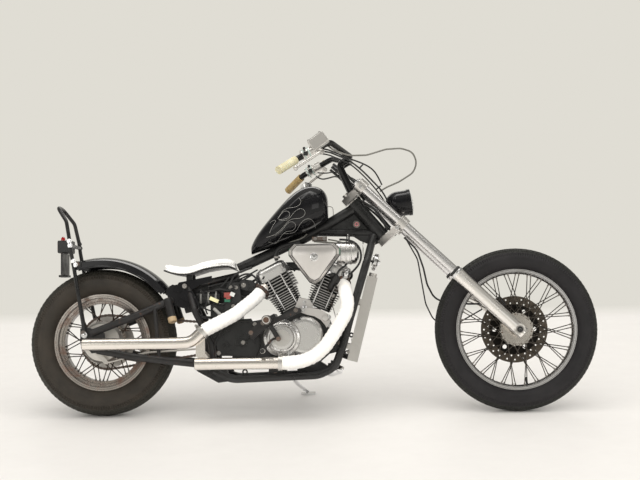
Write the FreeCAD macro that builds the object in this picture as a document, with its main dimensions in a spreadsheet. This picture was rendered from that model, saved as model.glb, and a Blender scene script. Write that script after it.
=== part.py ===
import FreeCAD, Part
import math
import os

import Sketcher
from FreeCAD import Placement, Rotation, Vector

# Chopper motorcycle with a raked fork, an air-cooled look V-twin and a side stand.
# Sub-parts are drawn in the upright bike's own frame, in millimetres: X runs forward from the rear axle,
# Y to the rider's left, Z up from the floor. One placement then leans every sub-part onto the side stand.

SIZES = {
    "lean_angle": 10.0,
    # front wheel
    "front_tyre_radius": 343.0,
    "front_tyre_width": 104.0,
    "front_tread_width": 84.0,
    "front_crown_radius": 53.0,
    "front_rim_radius": 254.0,
    "front_rim_width": 62.0,
    "front_rim_seat": 244.0,
    "front_rim_well": 238.0,
    "front_hub_radius": 24.0,
    "front_flange_radius": 68.0,
    "front_flange_offset": 33.0,
    "front_spoke_count": 60,
    "front_spoke_radius": 2.0,
    "front_axle_radius": 9.0,
    "front_axle_bore": 6.0,
    "front_disc_radius": 142.0,
    "front_disc_inner": 60.0,
    "front_disc_line": 50.0,
    "disc_thickness": 5.0,
    # rear wheel
    "rear_tyre_radius": 310.5,
    "rear_tyre_width": 150.0,
    "rear_tread_width": 126.0,
    "rear_crown_radius": 92.0,
    "rear_rim_radius": 204.0,
    "rear_rim_width": 98.0,
    "rear_rim_seat": 190.0,
    "rear_rim_well": 168.0,
    "rear_hub_radius": 78.0,
    "rear_flange_radius": 88.0,
    "rear_flange_offset": 40.0,
    "rear_spoke_count": 40,
    "rear_spoke_radius": 2.2,
    "rear_axle_radius": 9.0,
    "sprocket_radius": 112.0,
    "sprocket_thickness": 6.0,
    "chain_line": 92.0,
    "brake_gap": 1.0,
    "tyre_fit": 0.3,
    "rim_wall": 4.0,
    "axle_clearance": 0.05,
    "seat_gap": 0.3,
    # steering head and fork
    "head_rake": 40.55,
    "head_base_x": 1223.0,
    "head_base_z": 713.0,
    "head_gap": 5.0,
    "head_radius": 30.0,
    "stem_radius": 14.0,
    "stem_clearance": 0.3,
    "fork_rake": 46.7,
    "fork_half_track": 105.0,
    "fork_tube_radius": 20.5,
    "fork_tube_top": 912.0,
    "slider_radius": 27.0,
    "slider_top": 353.0,
    "slider_bottom": -26.0,
    "slider_bore_depth": 90.0,
    "yoke_thickness": 28.0,
    "yoke_collar_radius": 30.0,
    "lower_yoke_height": 28.0,
    "upper_yoke_height": 258.0,
    "fork_offset": 89.4,
    # handlebar
    "bar_back": 52.3,
    "bar_rise": 153.0,
    "bar_radius": 12.5,
    "grip_radius": 17.0,
    "grip_length": 108.0,
    "riser_half_gap": 48.0,
    "riser_radius": 15.0,
    # headlight
    "headlight_radius": 57.0,
    "headlight_shell_radius": 54.0,
    "headlight_length": 112.0,
    "headlight_height": 104.6,
    "headlight_ahead": 140.8,
    "headlight_tilt": 8.0,
    "lamp_post_radius": 9.0,
    # frame
    "backbone_radius": 22.0,
    "frame_tube_radius": 16.5,
    "rail_tube_radius": 13.0,
    "cradle_gap": 8.5,
    "swingarm_radius": 15.5,
    "swingarm_half_width": 124.0,
    "pivot_bolt_radius": 10.0,
    "strut_radius": 19.0,
    "strut_eye_half": 12.0,
    "horn_tube_radius": 8.0,
    "horn_tilt": 15.0,
    # engine
    "crank_x": 863.0,
    "crank_z": 330.0,
    "case_half_width": 105.0,
    "rear_cylinder_angle": -28.0,
    "front_cylinder_angle": 24.0,
    "cylinder_base": 126.0,
    "cylinder_top": 214.0,
    "head_top": 334.0,
    "fin_count": 8,
    "fin_thickness": 3.6,
    "fin_width_top": 130.0,
    "fin_width_bottom": 106.0,
    "head_fin_count": 5,
    "head_fin_pitch": 12.6,
    "head_fin_width": 152.0,
    "barrel_radius": 50.0,
    "clutch_cover_back": -98.0,
    "clutch_cover_drop": -8.0,
    "clutch_cover_radius": 78.0,
    "front_cover_ahead": -5.0,
    "front_cover_rise": -2.0,
    "front_cover_radius": 81.0,
    "cover_depth": 62.0,
    # exhausts
    "pipe_radius": 21.0,
    "wrap_thickness": 6.0,
    "silencer_radius": 24.5,
    "silencer_bore": 19.0,
    "silencer_bore_depth": 120.0,
    "rear_silencer_tail": -51.0,
    "front_silencer_tail": 411.0,
    "pipe_gap": 2.0,
    "air_cleaner_back": 132.0,
    "air_cleaner_depth": 58.0,
    "canister_radius": 49.0,
    "foot_gap": 13.0,
    # tank, seat, fender
    "tank_half_width": 128.0,
    "seat_half_width": 112.0,
    "seat_thickness": 30.0,
    "fender_radius": 362.0,
    "fender_skirt": 322.0,
    "fender_half_width": 86.0,
    "fender_wall": 3.0,
    "fender_start": 38.0,
    "fender_end": 109.0,
    "sissy_radius": 8.0,
    "tail_light_base": 694.0,
    # radiator
    "radiator_length": 360.0,
    "radiator_depth": 44.0,
    "radiator_tilt": 14.4,
    # side stand
    "stand_foot_x": 850.0,
    "stand_foot_y": 360.0,
    "stand_pivot_x": 790.0,
    "stand_pivot_out": 42.0,
    "stand_pivot_z": 146.0,
    "stand_leg_radius": 9.0,
    "stand_eye_radius": 15.0,
    "stand_eye_thickness": 12.0,
    "stand_pin_radius": 6.0,
}

doc = FreeCAD.newDocument("Chopper")


def make_sheet():
    """The spreadsheet of driving sizes, one alias a row."""
    sheet = doc.addObject("Spreadsheet::Sheet", "Sizes")
    for row, (name, value) in enumerate(SIZES.items(), start=1):
        sheet.set(f"A{row}", name)
        sheet.set(f"B{row}", str(value))
        sheet.setAlias(f"B{row}", name)
    doc.recompute()
    return sheet


class Size(float):
    """A number that remembers the sheet expression that it comes from."""

    def __new__(cls, value, text):
        number = super().__new__(cls, value)
        number.text = text
        return number

    def __add__(self, other):
        return Size(float(self) + float(other), f"({self.text} + {text_of(other)})")

    def __radd__(self, other):
        return Size(float(other) + float(self), f"({text_of(other)} + {self.text})")

    def __sub__(self, other):
        return Size(float(self) - float(other), f"({self.text} - {text_of(other)})")

    def __rsub__(self, other):
        return Size(float(other) - float(self), f"({text_of(other)} - {self.text})")

    def __mul__(self, other):
        return Size(float(self) * float(other), f"({self.text} * {text_of(other)})")

    def __rmul__(self, other):
        return Size(float(other) * float(self), f"({text_of(other)} * {self.text})")

    def __truediv__(self, other):
        return Size(float(self) / float(other), f"({self.text} / {text_of(other)})")

    def __neg__(self):
        return Size(-float(self), f"(0 - {self.text})")


def text_of(value):
    """The expression of a Size, or the digits of a plain number."""
    return value.text if isinstance(value, Size) else repr(float(value))


class SheetSizes:
    """Every cell of the sheet by its alias."""

    def __init__(self, sheet):
        for name in SIZES:
            setattr(self, name, Size(float(sheet.get(name)), f"Sizes.{name}"))


sizes = SheetSizes(make_sheet())

LEAN = Placement(Vector(0, 0, 0), Rotation(Vector(1, 0, 0), -sizes.lean_angle))
UP = Vector(0, 0, 1)
LEFT = Vector(0, 1, 0)
FORWARD = Vector(1, 0, 0)
NODES = []


def turn(degrees):
    """Cosine and sine of an angle in degrees."""
    return math.cos(math.radians(degrees)), math.sin(math.radians(degrees))


def axle_height(tyre_radius, crown_radius):
    """Height of an axle in the upright frame, so that the leaned tyre's crown touches the floor."""
    return tyre_radius + crown_radius * (1 / turn(sizes.lean_angle)[0] - 1)


FORK_UP = Vector(-turn(sizes.fork_rake)[1], 0, turn(sizes.fork_rake)[0])
STEM_UP = Vector(-turn(sizes.head_rake)[1], 0, turn(sizes.head_rake)[0])
STEM_AHEAD = Vector(turn(sizes.head_rake)[0], 0, turn(sizes.head_rake)[1])
HEAD_BASE = Vector(sizes.head_base_x, 0, sizes.head_base_z)
CRANK = Vector(sizes.crank_x, 0, sizes.crank_z)
REAR_AXLE = Vector(0, 0, axle_height(sizes.rear_tyre_radius, sizes.rear_crown_radius))
HEAD_START = sizes.lower_yoke_height + sizes.yoke_thickness / 2 + sizes.head_gap
HEAD_END = sizes.upper_yoke_height - sizes.yoke_thickness / 2 - sizes.head_gap
CRADLE_LINE = sizes.case_half_width + sizes.cradle_gap + sizes.frame_tube_radius
PIPE_LINE = (sizes.case_half_width + sizes.cover_depth + sizes.pipe_radius + sizes.wrap_thickness
             + sizes.pipe_gap)
PIVOT = CRANK + Vector(-433, 0, -114)
PIVOT_HALF = CRADLE_LINE - 2.0
STAND_FOLDED = Vector(-200, 25, 10)


def on_stem(height, ahead=0.0, y=0.0):
    """A point by the steering axis: height along it, distance ahead of it."""
    return HEAD_BASE + STEM_UP * height + STEM_AHEAD * ahead + LEFT * y


def fork_foot():
    """The front axle: where the fork's line, which starts at the lower yoke, comes down to axle height."""
    top = on_stem(sizes.lower_yoke_height, sizes.fork_offset)
    drop = top.z - axle_height(sizes.front_tyre_radius, sizes.front_crown_radius)
    return top - FORK_UP * (drop / FORK_UP.z)


FRONT_AXLE = fork_foot()


# Document objects

def keep(obj, label, local=Placement()):
    """Register a sub-part under its label and lean it."""
    obj.Label = label
    obj.Placement = LEAN.multiply(local)
    NODES.append(obj)
    return obj


def feature(label, shape):
    """A sub-part whose form is built from Part shapes in the upright frame."""
    obj = doc.addObject("Part::Feature", label)
    local = shape.Placement
    obj.Shape = shape
    return keep(obj, label, local)


def plane_of(body, role):
    """The body's own origin plane with the given role."""
    return next(item for item in body.Origin.OriginFeatures if item.Role == role)


def drive(sketch, geometry, point, x, y):
    """Fix a sketch point at coordinates that follow the sheet."""
    for kind, value in (("DistanceX", x), ("DistanceY", y)):
        index = sketch.addConstraint(Sketcher.Constraint(kind, geometry, point, float(value)))
        if isinstance(value, Size):
            sketch.setExpression(f"Constraints[{index}]", value.text)


def closed_profile(body, name, corners, role="XZ_Plane"):
    """A closed outline. A corner is (x, y), or (x, y, via_x, via_y) where an arc leaves it."""
    sketch = body.newObject("Sketcher::SketchObject", name)
    sketch.AttachmentSupport = [(plane_of(body, role), "")]
    sketch.MapMode = "FlatFace"
    flat = [Vector(float(corner[0]), float(corner[1]), 0) for corner in corners]
    ends = [add_curve(sketch, corner, flat[index], flat[(index + 1) % len(flat)])
            for index, corner in enumerate(corners)]
    for index, corner in enumerate(corners):
        following = (index + 1) % len(corners)
        joint = Sketcher.Constraint("Coincident", index, ends[index][1], following, ends[following][0])
        sketch.addConstraint(joint)
        drive(sketch, index, ends[index][0], corner[0], corner[1])
        if len(corner) == 4:
            via = sketch.addGeometry(Part.Point(Vector(float(corner[2]), float(corner[3]), 0)), True)
            sketch.addConstraint(Sketcher.Constraint("PointOnObject", via, 1, index))
            drive(sketch, via, 1, corner[2], corner[3])
    return sketch


def add_curve(sketch, corner, start, end):
    """Draw one side of an outline; gives the sketch's numbers of its first and last point."""
    if len(corner) == 2:
        sketch.addGeometry(Part.LineSegment(start, end), False)
        return 1, 2
    via = Vector(float(corner[2]), float(corner[3]), 0)
    turns_left = (via - start).cross(end - via).z > 0
    first, last = (start, end) if turns_left else (end, start)
    sketch.addGeometry(Part.Arc(first, via, last), False)
    return (1, 2) if turns_left else (2, 1)


def revolved(label, corners, centre, axis=LEFT, angle=360.0, start=0.0):
    """A body turned about an axis: corners are (radius, distance along the axis)."""
    body = doc.addObject("PartDesign::Body", label)
    sketch = closed_profile(body, label + "_profile", corners)
    spin = body.newObject("PartDesign::Revolution", label + "_turned")
    spin.Profile = sketch
    spin.ReferenceAxis = (sketch, ["V_Axis"])
    spin.Angle = angle
    body.Tip = spin
    sketch.Visibility = False
    rotation = Rotation(UP, axis).multiply(Rotation(UP, start))
    return keep(body, label, Placement(centre, rotation))


def dome_point(radius, base, height):
    """A point half way up a dome on the axis, from its rim to its top; the height may be negative."""
    curve = (radius ** 2 + height ** 2) / (2 * height)
    centre = base + height - curve
    half_angle = math.atan2(radius, math.copysign(1, height) * (base - centre)) / 2
    return abs(curve) * math.sin(half_angle), centre + curve * math.cos(half_angle)


def turned_shape(corners, centre, axis=LEFT):
    """A solid of revolution as a bare shape, for pieces that are fused in code."""
    wire = Part.makePolygon([Vector(r, 0, a) for r, a in corners + corners[:1]])
    solid = Part.Face(wire).revolve(Vector(0, 0, 0), UP, 360)
    solid.Placement = Placement(centre, Rotation(UP, axis))
    return solid


def rod(start, end, radius):
    """A round bar between two points."""
    run = end - start
    return Part.makeCylinder(radius, run.Length, start, run)


def route(points, bend):
    """A wire of straight runs joined by tangent arcs, each as large as bend or its runs allow."""
    edges = []
    last = points[0]
    for before, corner, after in zip(points, points[1:], points[2:]):
        back = (before - corner).normalize()
        ahead = (after - corner).normalize()
        half_turn = (math.pi - back.getAngle(ahead)) / 2
        shorter = min(before.distanceToPoint(corner), after.distanceToPoint(corner))
        radius = min(bend, 0.45 * shorter / math.tan(half_turn))
        reach = radius * math.tan(half_turn)
        entry, leave = corner + back * reach, corner + ahead * reach
        inward = (back + ahead).normalize()
        middle = corner + inward * (radius / math.cos(half_turn) - radius)
        edges.append(Part.LineSegment(last, entry).toShape())
        edges.append(Part.Arc(entry, middle, leave).toShape())
        last = leave
    edges.append(Part.LineSegment(last, points[-1]).toShape())
    return Part.Wire(edges)


def tube(points, radius, bend=60.0):
    """A bent round tube, closed at both ends."""
    points = [Vector(*point) for point in points]
    if len(points) == 2:
        return rod(points[0], points[1], radius)
    path = route(points, bend)
    start = Part.Circle(points[0], points[1] - points[0], radius).toShape()
    return path.makePipe(Part.Face(Part.Wire(start)))


def joined(*shapes):
    """One solid of overlapping pieces."""
    first, *rest = shapes
    return first.fuse(list(rest)).removeSplitter() if rest else first


def several(*shapes):
    """Solids of one sub-part that do not touch."""
    return Part.Compound([solid for shape in shapes for solid in shape.Solids])


def block(low, high):
    """A box between two opposite corners."""
    size = Vector(*high) - Vector(*low)
    return Part.makeBox(size.x, size.y, size.z, Vector(*low))


def plate(points, y_low, y_high):
    """A flat plate with an outline in the side view."""
    wire = Part.makePolygon([Vector(x, y_low, z) for x, z in points + points[:1]])
    return Part.Face(wire).extrude(Vector(0, y_high - y_low, 0))


# Wheels

def tyre(label, axle, radius, width, tread_width, crown, rim_radius, rim_width, rim_seat):
    """A tyre seated between the rim's flanges, its tread a round crown."""
    fit = sizes.tyre_fit
    half_bead = rim_width / 2 - sizes.rim_wall - fit
    half_tread = tread_width / 2
    drop = crown - math.sqrt(crown ** 2 - half_tread ** 2)
    shoulder = radius - drop
    bulge = (rim_radius + radius) / 2 - 8
    bead = rim_seat + fit
    corners = [
        (bead, -half_bead),
        (rim_radius, -half_bead, bulge, -width / 2),
        (shoulder, -half_tread, radius, 0),
        (shoulder, half_tread, bulge, width / 2),
        (rim_radius, half_bead),
        (bead, half_bead),
    ]
    revolved(label, corners, axle)


def rim_shape(axle, radius, width, seat, well):
    """The rim's section: flanges, bead seats and a well, of one wall thickness."""
    wall = sizes.rim_wall
    half = width / 2
    slope = half - wall - 14
    corners = [
        (seat - wall, -half),
        (radius, -half),
        (radius, -half + wall),
        (seat, -half + wall),
        (seat, -slope),
        (well, -slope + 8),
        (well, slope - 8),
        (seat, slope),
        (seat, half - wall),
        (radius, half - wall),
        (radius, half),
        (seat - wall, half),
        (seat - wall, slope + 3),
        (well - wall, slope - 6),
        (well - wall, -slope + 6),
        (seat - wall, -slope - 3),
    ]
    return turned_shape(corners, axle)


def hub_shape(axle, radius, flange_radius, flange_offset, axle_radius):
    """A barrel with a flange at each end and the axle's bore."""
    bore = axle_radius + sizes.axle_clearance
    edge = flange_offset + 5
    corners = [
        (bore, -edge - 8),
        (bore + 12, -edge - 8),
        (bore + 12, -edge),
        (flange_radius, -edge),
        (flange_radius, -flange_offset),
        (radius, -flange_offset),
        (radius, flange_offset),
        (flange_radius, flange_offset),
        (flange_radius, edge),
        (bore + 12, edge),
        (bore + 12, edge + 8),
        (bore, edge + 8),
    ]
    return turned_shape(corners, axle)


def spokes(axle, count, spoke_radius, hub_reach, flange_offset, rim_reach, group, lead, apart=0.0):
    """Straight spokes from both hub flanges to the rim's well, laced forward and back in turn."""
    bars = []
    for index in range(count):
        side = 1 if index % 2 else -1
        lean = 1 if (index // 2) % 2 else -1
        spread = (index % group - (group - 1) / 2) / group * 0.55
        rim_angle = 2 * math.pi * ((index // group) * group + (group - 1) / 2 + spread * group) / count
        hub_angle = rim_angle + lean * math.radians(lead)
        y = side * (flange_offset + 2.5)
        hub_y = y + lean * apart
        start = axle + Vector(hub_reach * math.cos(hub_angle), hub_y, hub_reach * math.sin(hub_angle))
        end = axle + Vector(rim_reach * math.cos(rim_angle), side * 6, rim_reach * math.sin(rim_angle))
        bars.append(rod(start, end, spoke_radius))
    return bars


def front_wheel():
    s = sizes
    tyre("front_tyre", FRONT_AXLE, s.front_tyre_radius, s.front_tyre_width, s.front_tread_width,
         s.front_crown_radius, s.front_rim_radius, s.front_rim_width, s.front_rim_seat)
    rim = rim_shape(FRONT_AXLE, s.front_rim_radius, s.front_rim_width, s.front_rim_seat, s.front_rim_well)
    hub = hub_shape(FRONT_AXLE, s.front_hub_radius, s.front_flange_radius, s.front_flange_offset,
                    s.front_axle_radius)
    bars = spokes(FRONT_AXLE, int(s.front_spoke_count), s.front_spoke_radius, s.front_flange_radius - 5,
                  s.front_flange_offset, s.front_rim_well - 2, 2, 34, 4.0)
    feature("front_rim", joined(rim, hub, *bars))
    seat = s.front_flange_offset + 5 + s.seat_gap
    disc = turned_shape([
        (s.front_disc_inner - 10, seat),
        (s.front_disc_inner, seat),
        (s.front_disc_inner, s.front_disc_line),
        (s.front_disc_radius, s.front_disc_line),
        (s.front_disc_radius, s.front_disc_line + s.disc_thickness),
        (s.front_disc_inner - 10, s.front_disc_line + s.disc_thickness),
    ], FRONT_AXLE)
    feature("front_disc", disc.cut(disc_holes()))


def disc_holes():
    """The front disc's drillings: two rings of small holes outside a ring of large ones."""
    s = sizes
    middle = FRONT_AXLE + LEFT * (s.front_disc_line + s.disc_thickness / 2)
    holes = []
    for share, count, radius in ((0.91, 24, 3.6), (0.79, 24, 3.6), (0.60, 6, 9.0)):
        for index in range(count):
            cos, sin = turn(360 / count * (index + (0.5 if share == 0.79 else 0)))
            reach = s.front_disc_radius * share
            centre = middle + Vector(reach * cos, 0, reach * sin)
            holes.append(rod(centre - LEFT * 10, centre + LEFT * 10, radius))
    return holes


def rear_wheel():
    s = sizes
    tyre("rear_tyre", REAR_AXLE, s.rear_tyre_radius, s.rear_tyre_width, s.rear_tread_width,
         s.rear_crown_radius, s.rear_rim_radius, s.rear_rim_width, s.rear_rim_seat)
    rim = rim_shape(REAR_AXLE, s.rear_rim_radius, s.rear_rim_width, s.rear_rim_seat, s.rear_rim_well)
    hub = hub_shape(REAR_AXLE, s.rear_hub_radius, s.rear_flange_radius, s.rear_flange_offset,
                    s.rear_axle_radius)
    bars = spokes(REAR_AXLE, int(s.rear_spoke_count), s.rear_spoke_radius, s.rear_flange_radius - 5,
                  s.rear_flange_offset, s.rear_rim_well - 2, 4, 22)
    feature("rear_rim", joined(rim, hub, *bars))
    half = s.sprocket_thickness / 2
    inner = s.chain_line - half
    hub_face = s.rear_flange_offset + 5 + s.seat_gap
    revolved("rear_sprocket", [
        (34, hub_face),
        (60, hub_face),
        (60, inner),
        (s.sprocket_radius, inner),
        (s.sprocket_radius, inner + 2 * half),
        (34, inner + 2 * half),
    ], REAR_AXLE)


# Steering

def on_fork(distance, side=0.0):
    """A point on a fork leg's line, measured up from the front axle."""
    return FRONT_AXLE + FORK_UP * distance + LEFT * (side * sizes.fork_half_track)


def fork_reach(height):
    """How far ahead of the steering axis the fork line lies at a height on the stem."""
    across = FRONT_AXLE - on_stem(height)
    along = across.dot(STEM_UP) / FORK_UP.dot(STEM_UP)
    return (across - FORK_UP * along).dot(STEM_AHEAD)


def fork_distance(height):
    """Distance up the fork from the axle to the level of a height on the stem."""
    return (on_stem(height) - FRONT_AXLE).dot(STEM_UP) / FORK_UP.dot(STEM_UP)


def on_bar(ahead, side, rise):
    """A point by the handlebar, from the middle of its clamp."""
    return on_stem(sizes.upper_yoke_height) + Vector(ahead - sizes.bar_back, side, rise + sizes.bar_rise)


def yoke_shape(height, neck):
    """A clamp that holds both fork tubes ahead of the steering stem; neck is fused to its web."""
    s = sizes
    half = s.yoke_thickness / 2
    reach = fork_reach(height)
    side = s.fork_half_track
    outline = [
        (-34, -34), (reach - 8, -side - 24), (reach + 16, -side - 14), (reach - 4, 0),
        (reach + 16, side + 14), (reach - 8, side + 24), (-34, 34),
    ]
    corners = [on_stem(height - half, ahead, y) for ahead, y in outline]
    web = Part.Face(Part.makePolygon(corners + corners[:1])).extrude(STEM_UP * (2 * half))
    middle = fork_distance(height)
    collars = []
    bores = []
    for hand in (-1, 1):
        low, high = on_fork(middle - half - 5, hand), on_fork(middle + half + 5, hand)
        collars.append(rod(low, high, s.yoke_collar_radius))
        bores.append(rod(on_fork(middle - 80, hand), on_fork(middle + 80, hand), s.fork_tube_radius))
    return joined(web, neck, *collars).cut(bores)


def yokes():
    """The lower yoke carries the stem and the headlight's post, the upper one the stem nut."""
    s = sizes
    half = s.yoke_thickness / 2
    low, high = s.lower_yoke_height, s.upper_yoke_height
    stem = rod(on_stem(low), on_stem(high - half), s.stem_radius)
    post = rod(on_stem(low + half - 2, fork_reach(low) - 16), lamp_centre(), s.lamp_post_radius)
    lamp_room = rod(lamp_centre() - lamp_axis() * 80, lamp_centre() + lamp_axis() * 80,
                    s.headlight_shell_radius + s.seat_gap)
    feature("lower_yoke", yoke_shape(low, joined(stem, post.cut(lamp_room))))
    feature("upper_yoke", yoke_shape(high, rod(on_stem(high), on_stem(high + half + 14), 19)))


def fork_legs():
    s = sizes
    legs = []
    sliders = []
    for hand in (-1, 1):
        bottom = on_fork(s.slider_top - s.slider_bore_depth + s.seat_gap, hand)
        legs.append(rod(bottom, on_fork(s.fork_tube_top, hand), s.fork_tube_radius))
        outer = rod(on_fork(s.slider_bottom, hand), on_fork(s.slider_top - 12, hand), s.slider_radius)
        collar = rod(on_fork(s.slider_top - 12, hand), on_fork(s.slider_top, hand), s.slider_radius + 2)
        lug = rod(on_fork(0, hand) - LEFT * 24, on_fork(0, hand) + LEFT * 24, 24)
        bore = rod(on_fork(s.slider_top - s.slider_bore_depth, hand), on_fork(s.slider_top + 5, hand),
                   s.fork_tube_radius + s.seat_gap)
        axle_bore = rod(on_fork(0, hand) - LEFT * 60, on_fork(0, hand) + LEFT * 60, s.front_axle_radius)
        sliders.append(joined(outer, collar, lug).cut([bore, axle_bore]))
    feature("fork_tubes", several(*legs))
    feature("fork_sliders", several(*sliders))
    outer_face = s.fork_half_track + s.slider_radius + 9 + s.seat_gap
    revolved("front_axle", [
        (s.front_axle_bore, -outer_face),
        (17, -outer_face),
        (17, -outer_face + 9),
        (s.front_axle_radius, -outer_face + 9),
        (s.front_axle_radius, outer_face - 9),
        (17, outer_face - 9),
        (17, outer_face),
        (s.front_axle_bore, outer_face),
    ], FRONT_AXLE)


# Places on the bent bar, from the middle of its clamp: ahead, to the side and up.
BAR_KNEE = (-26, 262, 56)
BAR_WRIST = (-157, 288, -14)
BAR_END = (-228, 374, -70)


def bar_point(place, hand):
    ahead, side, rise = place
    return on_bar(ahead, hand * side, rise)


def bar_shape():
    """The bent tube, from grip to grip."""
    halves = []
    for hand in (-1, 1):
        bends = [(54, 0, 16), (54, 110, 16), BAR_KNEE, BAR_WRIST, BAR_END]
        points = [on_bar(ahead, hand * side, rise) for ahead, side, rise in bends]
        halves.append(tube(points, sizes.bar_radius, 32))
    return joined(*halves)


def handlebar():
    s = sizes
    foot = on_stem(s.upper_yoke_height + s.yoke_thickness / 2, 22)
    risers = []
    grips = []
    for hand in (-1, 1):
        side = LEFT * (hand * s.riser_half_gap)
        route = [foot + side, on_bar(8, 0, -12) + side, on_bar(54, 0, 16) + side]
        risers.append(tube(route, s.riser_radius, 24))
        end = bar_point(BAR_END, hand)
        along = (end - bar_point(BAR_WRIST, hand)).normalize()
        grips.append(rod(end - along * s.grip_length, end + along * 4, s.grip_radius).cut(bar_shape()))
    feature("handlebar", joined(bar_shape(), *risers).cut(upright_node("upper_yoke")))
    feature("grips", several(*grips))


def controls():
    """Switch housing, perch and lever of each side, with the reservoir on the right."""
    for hand, label in ((-1, "brake_control"), (1, "clutch_control")):
        knee = bar_point(BAR_KNEE, hand)
        along = (bar_point(BAR_WRIST, hand) - knee).normalize()
        housing = rod(knee + along * 94, knee + along * 130, 25)
        perch = rod(knee + along * 58, knee + along * 88, 21)
        bridge = rod(knee + along * 86, knee + along * 96, 18)
        pivot = knee + along * 62 + Vector(24, hand * 26, -16)
        tip = on_bar(-162, hand * 366, -62)
        arm = rod(knee + along * 66, pivot, 11)
        lever = tube([pivot, pivot + Vector(-8, hand * 34, -6), tip], 6.5, 40)
        ball = Part.makeSphere(10, tip)
        pieces = [housing, perch, bridge, arm, lever, ball]
        if hand < 0:
            reservoir = Part.makeBox(76, 46, 52, Vector(-38, -23, -26))
            reservoir = reservoir.makeFillet(5, reservoir.Edges)
            reservoir.Placement = Placement(on_bar(-73, -275, 56), Rotation(LEFT, -36))
            pieces.append(reservoir)
        feature(label, joined(*pieces).cut(bar_shape()))


def lamp_centre():
    return on_stem(sizes.headlight_height, sizes.headlight_ahead)


def lamp_axis():
    cos, sin = turn(sizes.headlight_tilt)
    return Vector(cos, 0, sin)


def headlight():
    s = sizes
    radius = s.headlight_radius
    shell = s.headlight_shell_radius
    front = s.headlight_length / 2
    revolved("headlight", [
        (0, -front) + dome_point(shell, 0, -front),
        (shell, 0),
        (shell, front - 16),
        (radius, front - 16),
        (radius, front - 2),
        (radius - 6, front - 2) + dome_point(radius - 6, front - 2, 8),
        (0, front + 6),
    ], lamp_centre(), lamp_axis())


def caliper():
    """The caliper straddles the disc behind the left fork leg."""
    s = sizes
    disc = s.front_disc_line
    centre = FRONT_AXLE + Vector(-76, 0, 102)
    body = Part.makeBox(76, 38, 50, Vector(-38, 0, -25))
    body = body.makeFillet(6, body.Edges)
    body.Placement = Placement(centre + LEFT * (disc - 15), Rotation(LEFT, -35))
    slot = turned_shape([
        (40, disc - 5), (s.front_disc_radius + 6, disc - 5),
        (s.front_disc_radius + 6, disc + s.disc_thickness + 5), (40, disc + s.disc_thickness + 5),
    ], FRONT_AXLE)
    leg = rod(on_fork(-20, 1), on_fork(s.slider_top, 1), s.slider_radius + s.seat_gap)
    arm = rod(centre + LEFT * (disc + 14), on_fork(110, 1), 12)
    feature("front_caliper", joined(body.cut(slot), arm).cut(leg))


def cables():
    """The brake hose from the lower yoke to the caliper, and the control cables' loop by the bars."""
    hose = [(-462, 62, 401), (-407, 84, 349), (-380, 92, 269), (-366, 92, 199), (-332, 84, 129),
            (-192, 70, 111), (-97, 66, 111)]
    hose = [FRONT_AXLE + Vector(*point) for point in hose]
    drive = [(-458, 80, 404), (-405, 84, 308), (-374, 86, 115), (-336, 86, 32), (-250, 92, 22),
             (-112, 100, 98)]
    drive = [FRONT_AXLE + Vector(*point) for point in drive]
    slider = rod(on_fork(0, 1), on_fork(sizes.slider_top, 1), sizes.slider_radius + sizes.seat_gap)
    second = tube(drive, 3, 90).cut(slider)
    hoses = [tube(hose, 4, 90).cut(upright_node("front_caliper")), second]
    feature("front_brake_hose", several(*hoses))
    loop = [(-52, -250, 56), (-10, -242, 24), (50, -222, 4), (124, -180, 10), (206, -148, 38),
            (268, -128, 44), (318, -112, 30), (336, -98, -12), (322, -86, -54), (262, -72, -90),
            (208, -62, -112), (180, -56, -128)]
    loop = tube([on_bar(*point) for point in loop], 3.5, 90)
    feature("control_cables", loop.cut(upright_node("brake_control")))


def steering():
    yokes()
    fork_legs()
    handlebar()
    controls()
    headlight()
    caliper()
    cables()


# Frame

def head_tube():
    return rod(on_stem(HEAD_START), on_stem(HEAD_END), sizes.head_radius)


def head_bore():
    s = sizes
    return rod(on_stem(HEAD_START - 20), on_stem(HEAD_END + 20), s.stem_radius + s.stem_clearance)


def spine_shape(gap=0.0):
    """The main tube under the tank; gap widens it for the tank's tunnel."""
    top = on_stem(HEAD_END - 27)
    route = [top, CRANK + Vector(6, 0, 419), CRANK + Vector(-287, 0, 288)]
    return tube(route, sizes.backbone_radius + gap, 300)


def brace_shape(gap=0.0):
    """The straight tube from the foot of the steering head to the spine."""
    low = on_stem(HEAD_START + 14)
    return tube([low, CRANK + Vector(42, 0, 438)], sizes.frame_tube_radius + gap)


def backbone_shape():
    gusset = plate([(1085, 862), (1184, 752), (900, 760), (884, 762)], -4, 4)
    return joined(head_tube(), spine_shape(), brace_shape(), gusset).cut(head_bore())


def cradle_tube(hand, gap=0.0):
    """One side's downtube and lower rail in one bend; gap widens it to cut what seats on it."""
    y = hand * CRADLE_LINE
    points = [on_stem(HEAD_START + 25, -31, hand * 18)]
    points += [CRANK + Vector(ahead, side, rise) for ahead, side, rise in (
        (257, 0.8 * y, 300), (229, y, 210), (184, y, 65), (155, y, -41), (120, y, -133), (52, y, -164),
        (-308, y, -177), (-383, y, -140),
    )]
    return tube(points, sizes.frame_tube_radius + gap, 110)


def engine_lugs(hand):
    """Flat plates inside a cradle that the engine cases bolt to."""
    inner = hand * (sizes.case_half_width + sizes.seat_gap)
    outer = hand * (CRADLE_LINE - sizes.frame_tube_radius + 4)
    low, high = sorted((inner, outer))
    front = plate([(950, 250), (1030, 270), (1025, 320), (950, 340)], low, high)
    rear = plate([(705, 152), (775, 158), (765, 240), (712, 240)], low, high)
    return [front, rear]


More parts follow.
